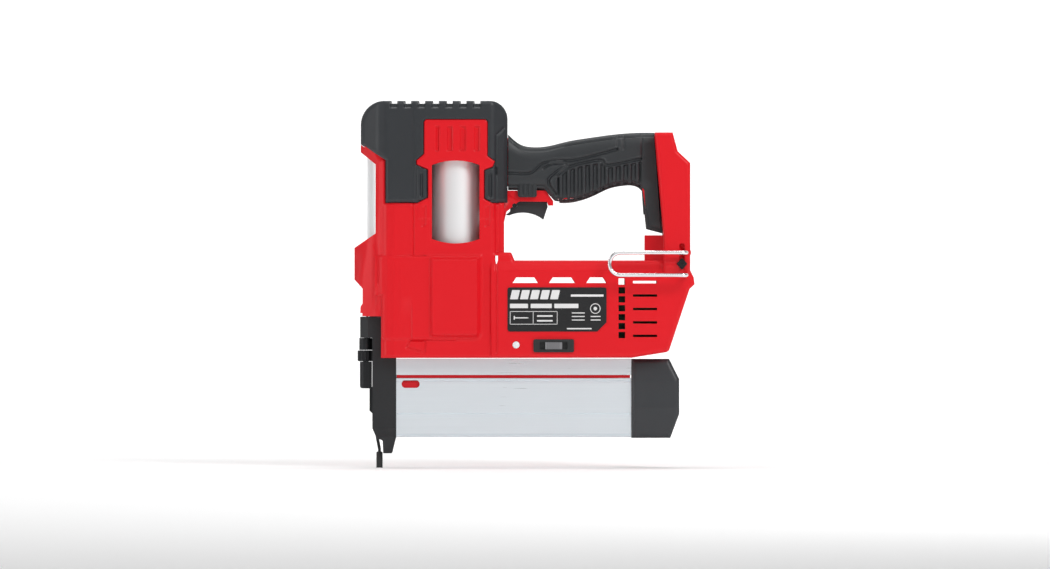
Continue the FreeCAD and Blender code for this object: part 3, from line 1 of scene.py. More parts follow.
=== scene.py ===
import bpy
import bmesh
import math
import numpy as np
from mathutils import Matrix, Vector


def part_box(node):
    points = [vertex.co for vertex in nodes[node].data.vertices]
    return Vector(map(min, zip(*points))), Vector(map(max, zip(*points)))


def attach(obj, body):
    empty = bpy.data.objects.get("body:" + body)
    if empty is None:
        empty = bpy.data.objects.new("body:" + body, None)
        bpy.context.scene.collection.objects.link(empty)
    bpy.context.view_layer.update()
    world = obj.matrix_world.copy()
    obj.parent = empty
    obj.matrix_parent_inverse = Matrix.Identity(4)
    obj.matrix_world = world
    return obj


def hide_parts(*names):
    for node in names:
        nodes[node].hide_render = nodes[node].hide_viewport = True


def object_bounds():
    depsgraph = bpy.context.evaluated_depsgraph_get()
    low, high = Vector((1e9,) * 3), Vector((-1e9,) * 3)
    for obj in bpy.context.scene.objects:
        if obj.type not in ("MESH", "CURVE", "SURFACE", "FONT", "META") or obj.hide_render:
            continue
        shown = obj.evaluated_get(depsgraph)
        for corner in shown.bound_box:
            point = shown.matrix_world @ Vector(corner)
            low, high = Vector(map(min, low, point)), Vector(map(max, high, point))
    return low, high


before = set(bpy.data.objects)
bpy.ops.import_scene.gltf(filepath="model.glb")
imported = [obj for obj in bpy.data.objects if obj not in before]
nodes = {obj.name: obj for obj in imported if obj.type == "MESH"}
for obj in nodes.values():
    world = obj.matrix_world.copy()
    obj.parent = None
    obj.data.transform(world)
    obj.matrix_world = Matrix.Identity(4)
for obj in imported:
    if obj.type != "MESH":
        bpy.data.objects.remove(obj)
cadBox = [[float(v) for v in corner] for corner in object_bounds()]
milli = 0.001


# ---- places, in millimetres, read from the frame

def spanOf(node):
    low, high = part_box(node)
    names = ("x0", "y0", "z0", "x1", "y1", "z1")
    return dict(zip(names, (v / milli for v in (*low, *high))))


ramBarrel = spanOf("drive_cylinder")
airBarrel = spanOf("compressor_cylinder")
shell = spanOf("housing_left")
cover = spanOf("top_cover")
head = spanOf("cylinder_head")
cap = spanOf("magazine_end_cap")
channel = spanOf("magazine_channel")
plate = spanOf("rating_plate")

place = {
    "ram": (ramBarrel["x0"] + ramBarrel["x1"]) / 2,
    "air": (airBarrel["x0"] + airBarrel["x1"]) / 2,
    "floor": shell["z0"],
    "head": head["z0"],
    "top": cover["z1"],
    "front": cover["x0"],
    "airRadius": (airBarrel["x1"] - airBarrel["x0"]) / 2,
}
caseHeight, handGap, columnDepth = 81.0, 48.3, 37.4
place["deck"] = place["floor"] + caseHeight
place["seat"] = ramBarrel["z0"]
place["towerRear"] = cover["x1"] - 2.9
place["columnRear"] = shell["x1"] - 3.7
place["columnFront"] = place["columnRear"] - columnDepth
place["columnStep"] = place["columnRear"] - 22.2
place["coverEdge"] = cover["z0"]
place["grip"] = place["deck"] + handGap
place["hood"] = place["floor"] + 34.2
place["windowLow"] = place["head"] - 71.6
place["windowHalf"] = place["airRadius"] - 2.25
print("places read from the frame")


# ---- shader wiring

class Wire:
    # a socket that takes part in Python sums
    def __init__(self, finish, socket):
        self.finish = finish
        self.socket = socket

    def maths(self, operation, first, second):
        return self.finish.node("ShaderNodeMath", {"operation": operation}, {0: first, 1: second})

    def __add__(self, other):
        return self.maths("ADD", self, other)

    def __radd__(self, other):
        return self.maths("ADD", other, self)

    def __sub__(self, other):
        return self.maths("SUBTRACT", self, other)

    def __rsub__(self, other):
        return self.maths("SUBTRACT", other, self)

    def __mul__(self, other):
        return self.maths("MULTIPLY", self, other)

    def __rmul__(self, other):
        return self.maths("MULTIPLY", other, self)


class Finish:
    def __init__(self, name):
        self.material = bpy.data.materials.new(name)
        self.material.use_nodes = True
        self.tree = self.material.node_tree
        self.tree.nodes.clear()
        self.place = self.node("ShaderNodeTexCoord", {}, {}, "Object")

    def node(self, kind, settings, inputs, output=0):
        made = self.tree.nodes.new(kind)
        for key, value in settings.items():
            setattr(made, key, value)
        for key, value in inputs.items():
            if isinstance(value, Wire):
                self.tree.links.new(value.socket, made.inputs[key])
            else:
                made.inputs[key].default_value = value
        return Wire(self, made.outputs[output])

    def stretched(self, factors):
        return self.node("ShaderNodeVectorMath", {"operation": "MULTIPLY"}, {0: self.place, 1: factors})

    def noise(self, scale, detail=2.0, factors=None):
        where = self.stretched(factors) if factors else self.place
        inputs = {"Vector": where, "Scale": scale, "Detail": detail, "Roughness": 0.55}
        return self.node("ShaderNodeTexNoise", {}, inputs, "Fac")

    def tint(self, factor, first, second):
        settings = {"data_type": "RGBA", "blend_type": "MIX"}
        return self.node("ShaderNodeMix", settings, {0: factor, 6: (*first, 1), 7: (*second, 1)}, 2)

    def bump(self, height, depth, under=None):
        inputs = {"Height": height, "Distance": depth, "Strength": 1.0}
        if under:
            inputs["Normal"] = under
        return self.node("ShaderNodeBump", {}, inputs, "Normal")

    def close(self, inputs):
        shader = self.node("ShaderNodeBsdfPrincipled", {}, inputs, "BSDF")
        output = self.tree.nodes.new("ShaderNodeOutputMaterial")
        self.tree.links.new(shader.socket, output.inputs["Surface"])
        return self.material


def darker(colour, share):
    return tuple(channelValue * share for channelValue in colour)


def moulded(name, look):
    # moulded plastic or rubber: fine grain, slow waviness, a little drift in tone and gloss
    finish = Finish(name)
    drift = finish.noise(look["drift"], 3.0)
    grain = finish.noise(look["grain"], 2.0)
    wave = finish.noise(38.0, 1.0)
    colour = finish.tint(drift, darker(look["colour"], 1 - look["vary"]), darker(look["colour"], 1 + look["vary"]))
    roughness = look["rough"] + (drift - 0.5) * look["roughVary"] + (grain - 0.5) * 0.08
    normal = finish.bump(wave, look["wave"])
    normal = finish.bump(grain, look["grainDepth"], normal)
    return finish.close({
        "Base Color": colour, "Roughness": roughness, "Normal": normal,
        "Specular IOR Level": look.get("specular", 0.5),
        "Coat Weight": look.get("coat", 0.0), "Coat Roughness": look.get("coatRough", 0.1),
    })


def metal(name, look):
    # metal with marks drawn out along one direction, or all round if the stretch is even
    finish = Finish(name)
    streak = finish.noise(look["streak"], 4.0, look["stretch"])
    patch = finish.noise(look["patch"], 3.0)
    colour = finish.tint(streak, darker(look["colour"], 1 - look["vary"]), darker(look["colour"], 1 + look["vary"]))
    roughness = look["rough"] + (streak - 0.5) * look["roughVary"] + (patch - 0.5) * look["roughVary"]
    normal = finish.bump(streak, look["depth"])
    return finish.close({
        "Base Color": colour, "Roughness": roughness, "Normal": normal, "Metallic": look.get("metallic", 1.0),
        "Specular IOR Level": 0.5,
    })


redPlastic = {"colour": (0.72, 0.009, 0.016), "vary": 0.03, "drift": 14.0, "grain": 2600.0, "grainDepth": 0.000012,
              "wave": 0.00006, "rough": 0.3, "roughVary": 0.06, "specular": 0.22}
charcoalPlastic = {"colour": (0.026, 0.029, 0.033), "vary": 0.08, "drift": 16.0, "grain": 1900.0,
                   "grainDepth": 0.00004, "wave": 0.00005, "rough": 0.38, "roughVary": 0.08, "specular": 0.4}
gripRubber = {"colour": (0.022, 0.025, 0.028), "vary": 0.1, "drift": 20.0, "grain": 2400.0, "grainDepth": 0.00005,
              "wave": 0.00005, "rough": 0.42, "roughVary": 0.1, "specular": 0.45}
darkPlastic = {"colour": (0.014, 0.015, 0.016), "vary": 0.1, "drift": 22.0, "grain": 2200.0, "grainDepth": 0.00003,
               "wave": 0.00003, "rough": 0.42, "roughVary": 0.08}
finishes = {
    "redShell": moulded("redShell", redPlastic),
    "charcoal": moulded("charcoal", charcoalPlastic),
    "gripRubber": moulded("gripRubber", gripRubber),
    "darkPlastic": moulded("darkPlastic", darkPlastic),
    "capCharcoal": moulded("capCharcoal", {**charcoalPlastic, "colour": (0.034, 0.037, 0.041), "drift": 11.0}),
    "triggerCharcoal": moulded("triggerCharcoal", {**charcoalPlastic, "colour": (0.03, 0.033, 0.036), "rough": 0.36}),
    "pusherRed": moulded("pusherRed", {**redPlastic, "colour": (0.6, 0.012, 0.018), "rough": 0.4}),
    # darker red for the strip along the magazine rail: painted reflection of the red housing in the rail's edge
    "paintedReflectionRed": moulded("paintedReflectionRed", {**redPlastic, "colour": (0.5, 0.01, 0.016)}),
    "knobGrey": moulded("knobGrey", {**darkPlastic, "colour": (0.2, 0.2, 0.21), "rough": 0.5}),
    "sealRubber": moulded("sealRubber", {**gripRubber, "colour": (0.02, 0.02, 0.02), "rough": 0.6}),
    "boardGreen": moulded("boardGreen", {**darkPlastic, "colour": (0.02, 0.16, 0.07), "rough": 0.35}),
    "plateBlack": moulded("plateBlack", {**darkPlastic, "colour": (0.008, 0.008, 0.009), "rough": 0.3,
                                         "grainDepth": 0.00001}),
    "printWhite": moulded("printWhite", {**darkPlastic, "colour": (0.75, 0.75, 0.75), "rough": 0.4}),
    "lensClear": moulded("lensClear", {**darkPlastic, "colour": (0.82, 0.84, 0.86), "rough": 0.12, "coat": 1.0,
                                       "grainDepth": 0.00001}),
    "noseBlack": metal("noseBlack", {"colour": (0.022, 0.023, 0.025), "vary": 0.15, "streak": 900.0, "metallic": 0.35,
                                     "stretch": (1, 1, 1), "patch": 45.0, "rough": 0.42, "roughVary": 0.14,
                                     "depth": 0.00003}),
    "blackSteel": metal("blackSteel", {"colour": (0.03, 0.031, 0.033), "vary": 0.15, "streak": 700.0, "metallic": 0.8,
                                       "stretch": (1, 1, 1), "patch": 60.0, "rough": 0.36, "roughVary": 0.16,
                                       "depth": 0.00002}),
    "barrelBright": metal("barrelBright", {"colour": (0.86, 0.875, 0.88), "vary": 0.02, "metallic": 0.4, "streak": 60.0,
                                           "stretch": (1, 1, 0.05), "patch": 18.0, "rough": 0.4, "roughVary": 0.06,
                                           "depth": 0.000006}),
    "brushedAlloy": metal("brushedAlloy", {"colour": (0.8, 0.86, 0.9), "vary": 0.03, "streak": 40.0, "metallic": 0.7,
                                           "stretch": (0.35, 24, 24), "patch": 12.0, "rough": 0.3, "roughVary": 0.12,
                                           "depth": 0.000012}),
    "castAlloy": metal("castAlloy", {"colour": (0.6, 0.61, 0.63), "vary": 0.08, "streak": 500.0,
                                     "stretch": (1, 1, 1), "patch": 40.0, "rough": 0.42, "roughVary": 0.12,
                                     "depth": 0.00003}),
    "groundSteel": metal("groundSteel", {"colour": (0.62, 0.63, 0.65), "vary": 0.05, "streak": 80.0,
                                         "stretch": (12, 12, 1), "patch": 30.0, "rough": 0.26, "roughVary": 0.1,
                                         "depth": 0.00001}),
    "gearSteel": metal("gearSteel", {"colour": (0.42, 0.42, 0.44), "vary": 0.08, "streak": 300.0,
                                     "stretch": (1, 1, 1), "patch": 50.0, "rough": 0.38, "roughVary": 0.12,
                                     "depth": 0.00001}),
    "hookChrome": metal("hookChrome", {"colour": (0.86, 0.86, 0.88), "vary": 0.03, "streak": 120.0,
                                       "stretch": (1, 6, 6), "patch": 60.0, "rough": 0.14, "roughVary": 0.1,
                                       "depth": 0.000008}),
    "contactBrass": metal("contactBrass", {"colour": (0.78, 0.6, 0.28), "vary": 0.05, "streak": 200.0,
                                           "stretch": (1, 1, 4), "patch": 60.0, "rough": 0.28, "roughVary": 0.1,
                                           "depth": 0.00001}),
}
print("finishes made:", len(finishes))


# ---- mesh helpers, in millimetres on the xz plane

def arcCorners(points, pieces=8):
    # spells out the corners that carry a radius
    line = []
    count = len(points)
    for i, corner in enumerate(points):
        if len(corner) < 3 or corner[2] <= 0:
            line.append(corner[:2])
            continue
        here = Vector(corner[:2])
        toward = [(Vector(points[k][:2]) - here).normalized() for k in (i - 1, (i + 1) % count)]
        half = toward[0].angle(toward[1]) / 2
        middle = here + (toward[0] + toward[1]).normalized() * (corner[2] / math.sin(half))
        ends = [here + way * (corner[2] / math.tan(half)) for way in toward]
        start, finish = ends[0] - middle, ends[1] - middle
        turn = start.angle_signed(finish)
        for step in range(pieces + 1):
            angle = -turn * step / pieces
            spun = Vector((start.x * math.cos(angle) - start.y * math.sin(angle),
                           start.x * math.sin(angle) + start.y * math.cos(angle)))
            line.append(tuple(middle + spun))
    return line


def depthInside(points, X, Z):
    # distance to an outline, positive inside it
    line = arcCorners(points)
    nearest = np.full(X.shape, 1e9)
    inside = np.zeros(X.shape, bool)
    for (x0, z0), (x1, z1) in zip(line, line[1:] + line[:1]):
        dx, dz = x1 - x0, z1 - z0
        share = np.clip(((X - x0) * dx + (Z - z0) * dz) / max(dx * dx + dz * dz, 1e-9), 0, 1)
        nearest = np.minimum(nearest, np.hypot(X - x0 - share * dx, Z - z0 - share * dz))
        crosses = (z0 > Z) != (z1 > Z)
        inside ^= crosses & (X < x0 + (Z - z0) * dx / (dz if abs(dz) > 1e-9 else 1e-9))
    return np.where(inside, nearest, -nearest)


def nearLine(points, X, Z):
    # distance to an open line
    nearest = np.full(X.shape, 1e9)
    for (x0, z0), (x1, z1) in zip(points, points[1:]):
        dx, dz = x1 - x0, z1 - z0
        share = np.clip(((X - x0) * dx + (Z - z0) * dz) / (dx * dx + dz * dz), 0, 1)
        nearest = np.minimum(nearest, np.hypot(X - x0 - share * dx, Z - z0 - share * dz))
    return nearest


def roundOver(depth, radius):
    # how far a rounded edge falls, at a depth inside the outline
    reached = depth + 0.15 * radius
    arc = radius - np.sqrt(np.maximum(radius ** 2 - np.clip(radius - reached, 0, radius) ** 2, 0))
    return np.where(reached < 0, radius - 1.5 * reached, arc)


def ease(value, width):
    share = np.clip(value / width, 0, 1)
    return share * share * (3 - 2 * share)


def groove(distance, halfWidth, depth):
    # round bottomed groove about a line
    share = np.clip(1 - distance / halfWidth, 0, 1)
    return depth * np.sqrt(share * (2 - share))


def smoothLine(points, pieces=6):
    # passes a smooth line through the points
    points = [np.array(p, float) for p in points]
    ends = [2 * points[0] - points[1], *points, 2 * points[-1] - points[-2]]
    line = []
    for a, b, c, d in zip(ends, ends[1:], ends[2:], ends[3:]):
        for step in range(pieces):
            t = step / pieces
            line.append(tuple(0.5 * (2 * b + (c - a) * t + (2 * a - 5 * b + 4 * c - d) * t ** 2
                                     + (3 * b - a - 3 * c + d) * t ** 3)))
    line.append(tuple(points[-1]))
    return line


def slab(name, box, step, front, back):
    # closed block between two height fields, front(X, Z) towards -y and back(X, Z) towards +y
    xs = np.arange(box["x0"] - 2, box["x1"] + 2 + step, step)
    zs = np.arange(box["z0"] - 2, box["z1"] + 2 + step, step)
    X, Z = np.meshgrid(xs, zs, indexing="ij")
    layers = [front(X, Z), back(X, Z)]
    count = X.size
    places = np.concatenate([np.stack([X, Y, Z], -1).reshape(-1, 3) for Y in layers]) * milli
    index = np.arange(count).reshape(X.shape)
    quads = np.stack([index[:-1, :-1], index[1:, :-1], index[1:, 1:], index[:-1, 1:]], -1).reshape(-1, 4)
    rim = np.concatenate([index[:-1, 0], index[-1, :-1], index[:0:-1, -1], index[0, :0:-1]])
    following = np.roll(rim, -1)
    walls = np.stack([following, rim, rim + count, following + count], -1)
    faces = np.concatenate([quads, quads[:, ::-1] + count, walls])
    mesh = bpy.data.meshes.new(name)
    mesh.vertices.add(len(places))
    mesh.vertices.foreach_set("co", places.astype(np.float32).ravel())
    mesh.loops.add(faces.size)
    mesh.loops.foreach_set("vertex_index", faces.ravel().astype(np.int32))
    mesh.polygons.add(len(faces))
    mesh.polygons.foreach_set("loop_start", np.arange(0, faces.size, 4, dtype=np.int32))
    mesh.update(calc_edges=True)
    made = bpy.data.objects.new(name, mesh)
    bpy.context.scene.collection.objects.link(made)
    return made


def fromBmesh(name, mesh):
    data = bpy.data.meshes.new(name)
    mesh.to_mesh(data)
    mesh.free()
    made = bpy.data.objects.new(name, data)
    bpy.context.scene.collection.objects.link(made)
    return made


def softShade(made, degrees=32):
    made.data.shade_smooth()
    made.data.set_sharp_from_angle(angle=math.radians(degrees))


def bake(made):
    # applies the modifiers
    bpy.context.view_layer.update()
    result = bpy.data.meshes.new_from_object(made.evaluated_get(bpy.context.evaluated_depsgraph_get()))
    made.modifiers.clear()
    made.data = result


def carve(name, node, body, finish, block):
    # the CAD part's own solid, kept inside a shaped block
    made = bpy.data.objects.new(name, nodes[node].data.copy())
    bpy.context.scene.collection.objects.link(made)
    mesh = bmesh.new()
    mesh.from_mesh(made.data)
    bmesh.ops.remove_doubles(mesh, verts=mesh.verts, dist=1e-6)
    mesh.to_mesh(made.data)
    mesh.free()
    cut = made.modifiers.new("cut", "BOOLEAN")
    cut.operation, cut.object, cut.solver = "INTERSECT", block, "MANIFOLD"
    before = len(made.data.vertices)
    bake(made)
    bpy.data.objects.remove(block)
    made.data.materials.clear()
    made.data.materials.append(finishes[finish])
    softShade(made)
    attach(made, body)
    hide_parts(node)
    print(f"{name}: {before} to {len(made.data.vertices)} points")
    return made


# ---- red housing halves

housing = {
    "step": 0.7,           # grid of the carved surface
    "towerHalf": 29.0, "caseHalf": 31.0, "columnHalf": 37.5, "innerHalf": 20.0,
    "insetHalf": 29.5, "panelHalf": 31.0, "bumpHalf": 34.6, "frameHalf": 13.0,
    "towerRound": 3.2, "caseRound": 3.8, "columnRound": 3.6, "panelRound": 2.7,
    "bumpSlope": 5.2, "ledgeHeight": 8.5, "ledgeFall": 2.2, "skin": 0.12, "slotDepth": 1.9, "lineDepth": 1.1,
}


def towerLine():
    ram, floor, hood, head_, low = (place[k] for k in ("ram", "floor", "hood", "head", "windowLow"))
    front, rear = place["front"], place["towerRear"]
    return [
        (ram - 5.3, floor), (ram - 5.3, hood + 0.4), (ram - 23.0, hood + 0.4), (ram - 22.6, hood + 8.5),
        (ram - 20.9, hood + 11.1), (ram - 20.9, hood + 23.4), (ram - 27.7, hood + 30.9), (ram - 27.7, low - 7.5),
        (ram - 9.9, low + 4.6), (ram - 9.9, head_ - 9.7), (front, head_ + 0.4), (front, head_ + 6.7),
        (front + 14.1, head_ - 2.4), (front + 20.6, head_ - 6.7), (front + 20.7, place["coverEdge"] - 0.3),
        (rear, place["coverEdge"] - 0.3), (rear, floor),
    ]


def insetLine():
    air, half, edge, head_ = (place[k] for k in ("air", "windowHalf", "coverEdge", "head"))
    left, right = air - half, air + half
    return [
        (left - 12.2, edge - 14.0), (left - 12.2, edge), (left - 3.6, edge + 4.4), (left - 3.6, head_ - 14.3),
        (left - 13.1, head_ - 10.1), (left - 13.1, head_ - 6.3), (left - 6.9, head_ - 1.1),
        (left - 6.9, head_ + 27.8, 3.0), (right + 6.9, head_ + 27.8, 3.0), (right + 6.9, head_ - 2.5),
        (right + 13.1, head_ - 7.2), (right + 11.2, head_ - 12.0), (right + 4.1, head_ - 14.8),
        (right + 4.1, edge + 3.4), (right + 12.1, edge - 0.9), (right + 12.1, edge - 14.0),
    ]


def coverLine():
    front, head_, top = place["front"], place["head"], place["top"]
    rear, edge = place["towerRear"] + 2.9, place["coverEdge"]
    return [
        (front, head_ + 7.1), (front + 14.2, head_ - 2.0), (front + 20.9, head_ - 6.3), (front + 21.0, edge),
        (rear, edge), (rear, top, 15.0), (front, top, 20.0),
    ]


def caseLine():
    rear, column, floor, deck = place["towerRear"], place["columnRear"], place["floor"], place["deck"]
    return [
        (rear - 30.0, floor), (place["columnFront"] - 11.2, floor + 0.2), (column - 17.8, floor + 5.2, 4.0),
        (column - 0.5, floor + 57.1), (column + 3.7, floor + 61.2), (column + 3.0, floor + 66.8),
        (column, deck - 8.0), (column, deck), (rear + 8.7, deck), (rear + 6.0, deck + 6.7, 2.0),
        (rear - 30.0, deck + 6.7),
    ]


def columnLine():
    step, column, deck, grip = (place[k] for k in ("columnStep", "columnRear", "deck", "grip"))
    return [
        (step, deck - 14.0), (column, deck - 14.0), (column, grip + 32.4), (column - 10.4, grip + 42.3),
        (column - 14.6, grip + 57.8), (step - 7.0, grip + 57.8), (step - 7.0, grip + 53.0), (step, grip - 27.0),
    ]


def frameLine():
    rear, grip = place["towerRear"], place["grip"]
    return [
        (rear - 14.0, grip + 9.8), (rear + 34.5, grip + 9.8), (rear + 40.9, grip + 1.1), (rear + 40.9, grip - 2.5),
        (rear + 36.8, grip - 2.5), (rear + 35.6, grip + 0.5), (rear + 12.4, grip + 0.8), (rear + 2.1, grip - 7.5),
        (rear, grip - 16.0), (rear - 14.0, grip - 16.0),
    ]


def elbowLine():
    ram, floor, seat = place["ram"], place["floor"], place["seat"]
    return [
        (ram - 10.7, seat + 24.5), (ram - 10.7, seat - 8.5), (ram - 4.8, seat - 8.5), (ram - 4.8, floor + 14.7, 4.0),
        (place["air"], floor + 14.7), (place["air"], seat + 24.5),
    ]


def bumpLine():
    air, radius, floor = place["air"], place["airRadius"], place["floor"]
    return [
        (air - radius - 2.7, airBarrel["z0"]), (air - radius - 2.7, floor + 14.3, 7.0),
        (air + radius + 0.8, floor + 14.3, 7.0), (air + radius + 0.8, airBarrel["z0"]),
    ]


def housingHalf(X, Z):
    look, ram, rear = housing, place["ram"], place["towerRear"]
    planX = [ram - 27.7, ram - 14.6, ram - 9.9, ram - 1.0, ram + 5.0, rear - 9.8, rear]
    planY = [9.0, 17.5, 20.0, look["towerHalf"] - 2, look["towerHalf"], look["towerHalf"], look["towerHalf"] - 7]
    plan = sum(np.interp(X + shift, planX, planY) for shift in (-1.2, 0, 1.2)) / 3
    width = plan - roundOver(depthInside(towerLine(), X, Z), look["towerRound"])
    inset = depthInside(insetLine(), X, Z)
    hidden = (depthInside(coverLine(), X, Z) > 1.0) & (inset < -1.0)
    width = np.maximum(width, look["insetHalf"] - roundOver(inset - 0.3, 1.4))
    case = look["caseHalf"] - roundOver(depthInside(caseLine(), X, Z), look["caseRound"])
    case = case - look["ledgeFall"] * np.clip((Z - place["deck"] + look["ledgeHeight"]) / look["ledgeHeight"], 0, 1)
    case = case - 3 * (1 - ease(X - rear + 12.2, 1.6)) - 40 * (X < rear - 13)
    width = np.maximum(width, case)
    column = look["columnHalf"] - roundOver(depthInside(columnLine(), X, Z), look["columnRound"])
    column = column - 6.4 * (1 - ease(Z - place["deck"] + 14.0, 13.0))
    width = np.maximum(width, column)
    innerTop = place["grip"] - 15.0
    innerBox = [(place["columnFront"], place["deck"] - 14), (place["columnStep"] + 6, place["deck"] - 14),
                (place["columnStep"] + 6, innerTop), (place["columnFront"], innerTop)]
    width = np.maximum(width, look["innerHalf"] - roundOver(depthInside(innerBox, X, Z), 3.4))
    rising = [ram - 10.7, ram - 5, ram, ram + 5, ram + 11, ram + 19]
    elbow = look["panelHalf"] - np.interp(X, rising, [9.6, 5.0, 2.6, 1.2, 0.4, 0.0])
    foldX, foldTop = ram + 19.5, place["floor"] + 50.0  # shallow fold that fades out upwards
    elbow = elbow - 1.3 * (1 - ease(X - foldX, 1.4)) * ease(X - foldX + 13, 13) * (1 - ease(Z - foldTop + 14, 16))
    width = np.maximum(width, elbow - roundOver(depthInside(elbowLine(), X, Z), look["panelRound"]))
    slope = np.clip(depthInside(bumpLine(), X, Z) / look["bumpSlope"], -1, 1)
    rise = look["bumpHalf"] - look["towerHalf"]
    width = np.maximum(width, look["towerHalf"] + rise * (slope - 0.18 * np.sin(slope * math.pi) * (slope > 0)))
    width = np.maximum(width, look["frameHalf"] - roundOver(depthInside(frameLine(), X, Z), 2.0))
    width = np.where(hidden, 45.0, width)
    width = np.where((depthInside(gripLine(), X, Z) > 2.0) & (width < 14.2), 14.2, width)
    return np.maximum(width - look["skin"] - housingGrooves(X, Z), 2.0)


def housingGrooves(X, Z):
    air, half, edge, head_ = (place[k] for k in ("air", "windowHalf", "coverEdge", "head"))
    fall = np.zeros(X.shape)
    for start, width in ((-16.7, 3.3), (-7.2, 4.8), (3.3, 5.2), (15.2, 4.8)):  # slots over the window
        x0, x1 = air + start, air + start + width
        z0, z1 = head_ + 1.1, head_ + 21.9
        slotBox = [(x0, z0), (x1, z0), (x1, z1), (x0, z1)]
        fall = np.maximum(fall, housing["slotDepth"] * ease(depthInside(slotBox, X, Z), 0.8))
    for x0, x1 in ((air - half - 8.6, air - half - 4.5), (air + half + 4.2, air + half + 9.0)):
        z0, z1 = edge - 20.9, edge - 1.5
        fall = np.maximum(fall, 1.1 * ease(depthInside([(x0, z0), (x1, z0 + 2), (x1, z1), (x0, z1 - 2)], X, Z), 1.0))
    ram, floor = place["ram"], place["floor"]
    seams = [[(ram + 21.4, edge), (ram + 21.4, place["seat"] + 25)],
             [(ram - 8.5, place["windowLow"] - 8), (ram - 8.5, place["seat"] + 2)],
             [(place["towerRear"] - 6.3, edge), (place["towerRear"] - 6.3, floor + 4)]]
    for seam in seams:
        fall = np.maximum(fall, groove(nearLine(seam, X, Z), 1.0, housing["lineDepth"]))
    lug = [(ram + 19.3, floor + 14.3), (ram + 31.2, floor + 14.3), (ram + 30.8, floor + 4.6), (ram + 15.5, floor + 8.8)]
    return np.maximum(fall, groove(np.abs(depthInside(lug, X, Z)), 0.9, housing["lineDepth"]))


# ---- grip outline and its relief

grip = {"step": 0.6, "half": 18.5, "roundDepth": 12.0, "roundFall": 6.2, "ribPitch": 6.35, "ribs": 11, "ribDepth": 2.6,
        "core": 16.1}
gripTop = [(-0.05, 64.0), (0.0, 60.2), (0.055, 53.4), (0.125, 47.6), (0.2, 45.9), (0.3, 46.5), (0.45, 50.6),
           (0.6, 53.5), (0.75, 56.0), (0.89, 57.5), (1.2, 57.8)]
gripUnder = [(0.98, 9.6), (0.93, 13.6), (0.84, 13.8), (0.74, 11.2), (0.65, 6.2), (0.555, 1.9), (0.36, 0.1)]


def alongGrip(points):
    length = place["columnFront"] - place["towerRear"]
    return [(place["towerRear"] + share * length, place["grip"] + height) for share, height in points]


def gripLine():
    front, step, height = place["columnFront"], place["columnStep"], place["grip"]
    rear = [(step + 20, height + 57.8), (step + 20, height - 27.0), (step, height - 27.0), (front, height - 23.5)]
    start = alongGrip([(0.28, 10.2), (-0.05, 10.2)])
    return [*smoothLine(alongGrip(gripTop)), *rear, *smoothLine(alongGrip(gripUnder)), *start]


def gripHalf(X, Z):
    rear, height = place["towerRear"], place["grip"]
    inside = depthInside(gripLine(), X, Z)
    share = np.clip(1 - (inside + 0.4) / grip["roundDepth"], 0, 1)
    width = grip["half"] - grip["roundFall"] * (1 - np.sqrt(1 - share ** 2))
    width = np.where(inside < 0, width + 1.5 * inside, width)
    ribEdge = [(rear + 45.0, height + 23.2), (rear + 53.1, height + 29.1), (rear + 67.1, height + 33.1),
               (rear + 81.0, height + 34.9), (rear + 86.3, height + 30.8), (rear + 113.7, height + 36.1)]
    topEdge = [(rear + 3.0, height + 24.3), (rear + 21.7, height + 24.3), (rear + 31.0, height + 31.8),
               (rear + 43.8, height + 34.7), (rear + 60.1, height + 35.3), (rear + 93.9, height + 44.0)]
    loop = [(rear + 33, height + 28.5), (rear + 39.1, height + 31.8), (rear + 48.5, height + 32.4),
            (rear + 51.4, height + 30.7), (rear + 43.8, height + 25.5), (rear + 37.4, height + 19.7),
            (rear + 37.9, height + 13.8), (rear + 45.0, height + 3.3)]
    for line in (ribEdge, topEdge, loop):
        away = nearLine(smoothLine(line, 4), X, Z)
        width = width - groove(away, 1.3, 1.3) + groove(np.abs(away - 1.7), 0.8, 0.45)
    for x0, z0, x1, z1 in ((94, 44.5, 94.5, 60), (99.5, 44.5, 99, 60), (114.5, 36.5, 114.5, 60)):
        width = width - groove(nearLine([(rear + x0, height + z0), (rear + x1, height + z1)], X, Z), 1.0, 0.9)
    under = np.interp(X, [rear + 45.0, rear + 53.1, rear + 67.1, rear + 81.0, rear + 86.3, rear + 113.7],
                      [height + v for v in (23.2, 29.1, 33.1, 34.9, 30.8, 36.1)]) - Z
    first = rear + 47.3
    phase = np.cos((X - first) * 2 * math.pi / grip["ribPitch"])
    reach = ease(under - 2.0, 1.6) * ease(inside - 0.5, 1.5)
    reach = reach * ease(X - first + 3.4, 0.8) * ease(first + grip["ribPitch"] * (grip["ribs"] - 0.45) - X, 0.8)
    width = width - grip["ribDepth"] * reach * np.clip(0.55 - 0.9 * phase, 0, 1)
    width = np.where(inside > 2.4, np.maximum(width, grip["core"]), width)
    return np.maximum(width - 0.12, 2.0)


def oneSided(field, side):
    if side < 0:
        return (lambda X, Z: -field(X, Z)), (lambda X, Z: np.full(X.shape, 1.5))
    return (lambda X, Z: np.full(X.shape, -1.5)), (lambda X, Z: field(X, Z))


for sideName, side in (("left", -1), ("right", 1)):
    front, back = oneSided(housingHalf, side)
    block = slab("housingBlock", spanOf(f"housing_{sideName}"), housing["step"], front, back)
    made = carve(f"shell_{sideName}", f"housing_{sideName}", "tool", "redShell", block)
    front, back = oneSided(gripHalf, side)
    block = slab("gripBlock", spanOf(f"grip_{sideName}"), grip["step"], front, back)
    made = carve(f"overmould_{sideName}", f"grip_{sideName}", "tool", "gripRubber", block)


# ---- top cover

hood = {"step": 0.6, "half": 30.0, "round": 4.2, "ventDepth": 2.2, "ventWidth": 6.8, "ventPitch": 11.5, "vents": 7,
        "ventReach": 6.2}


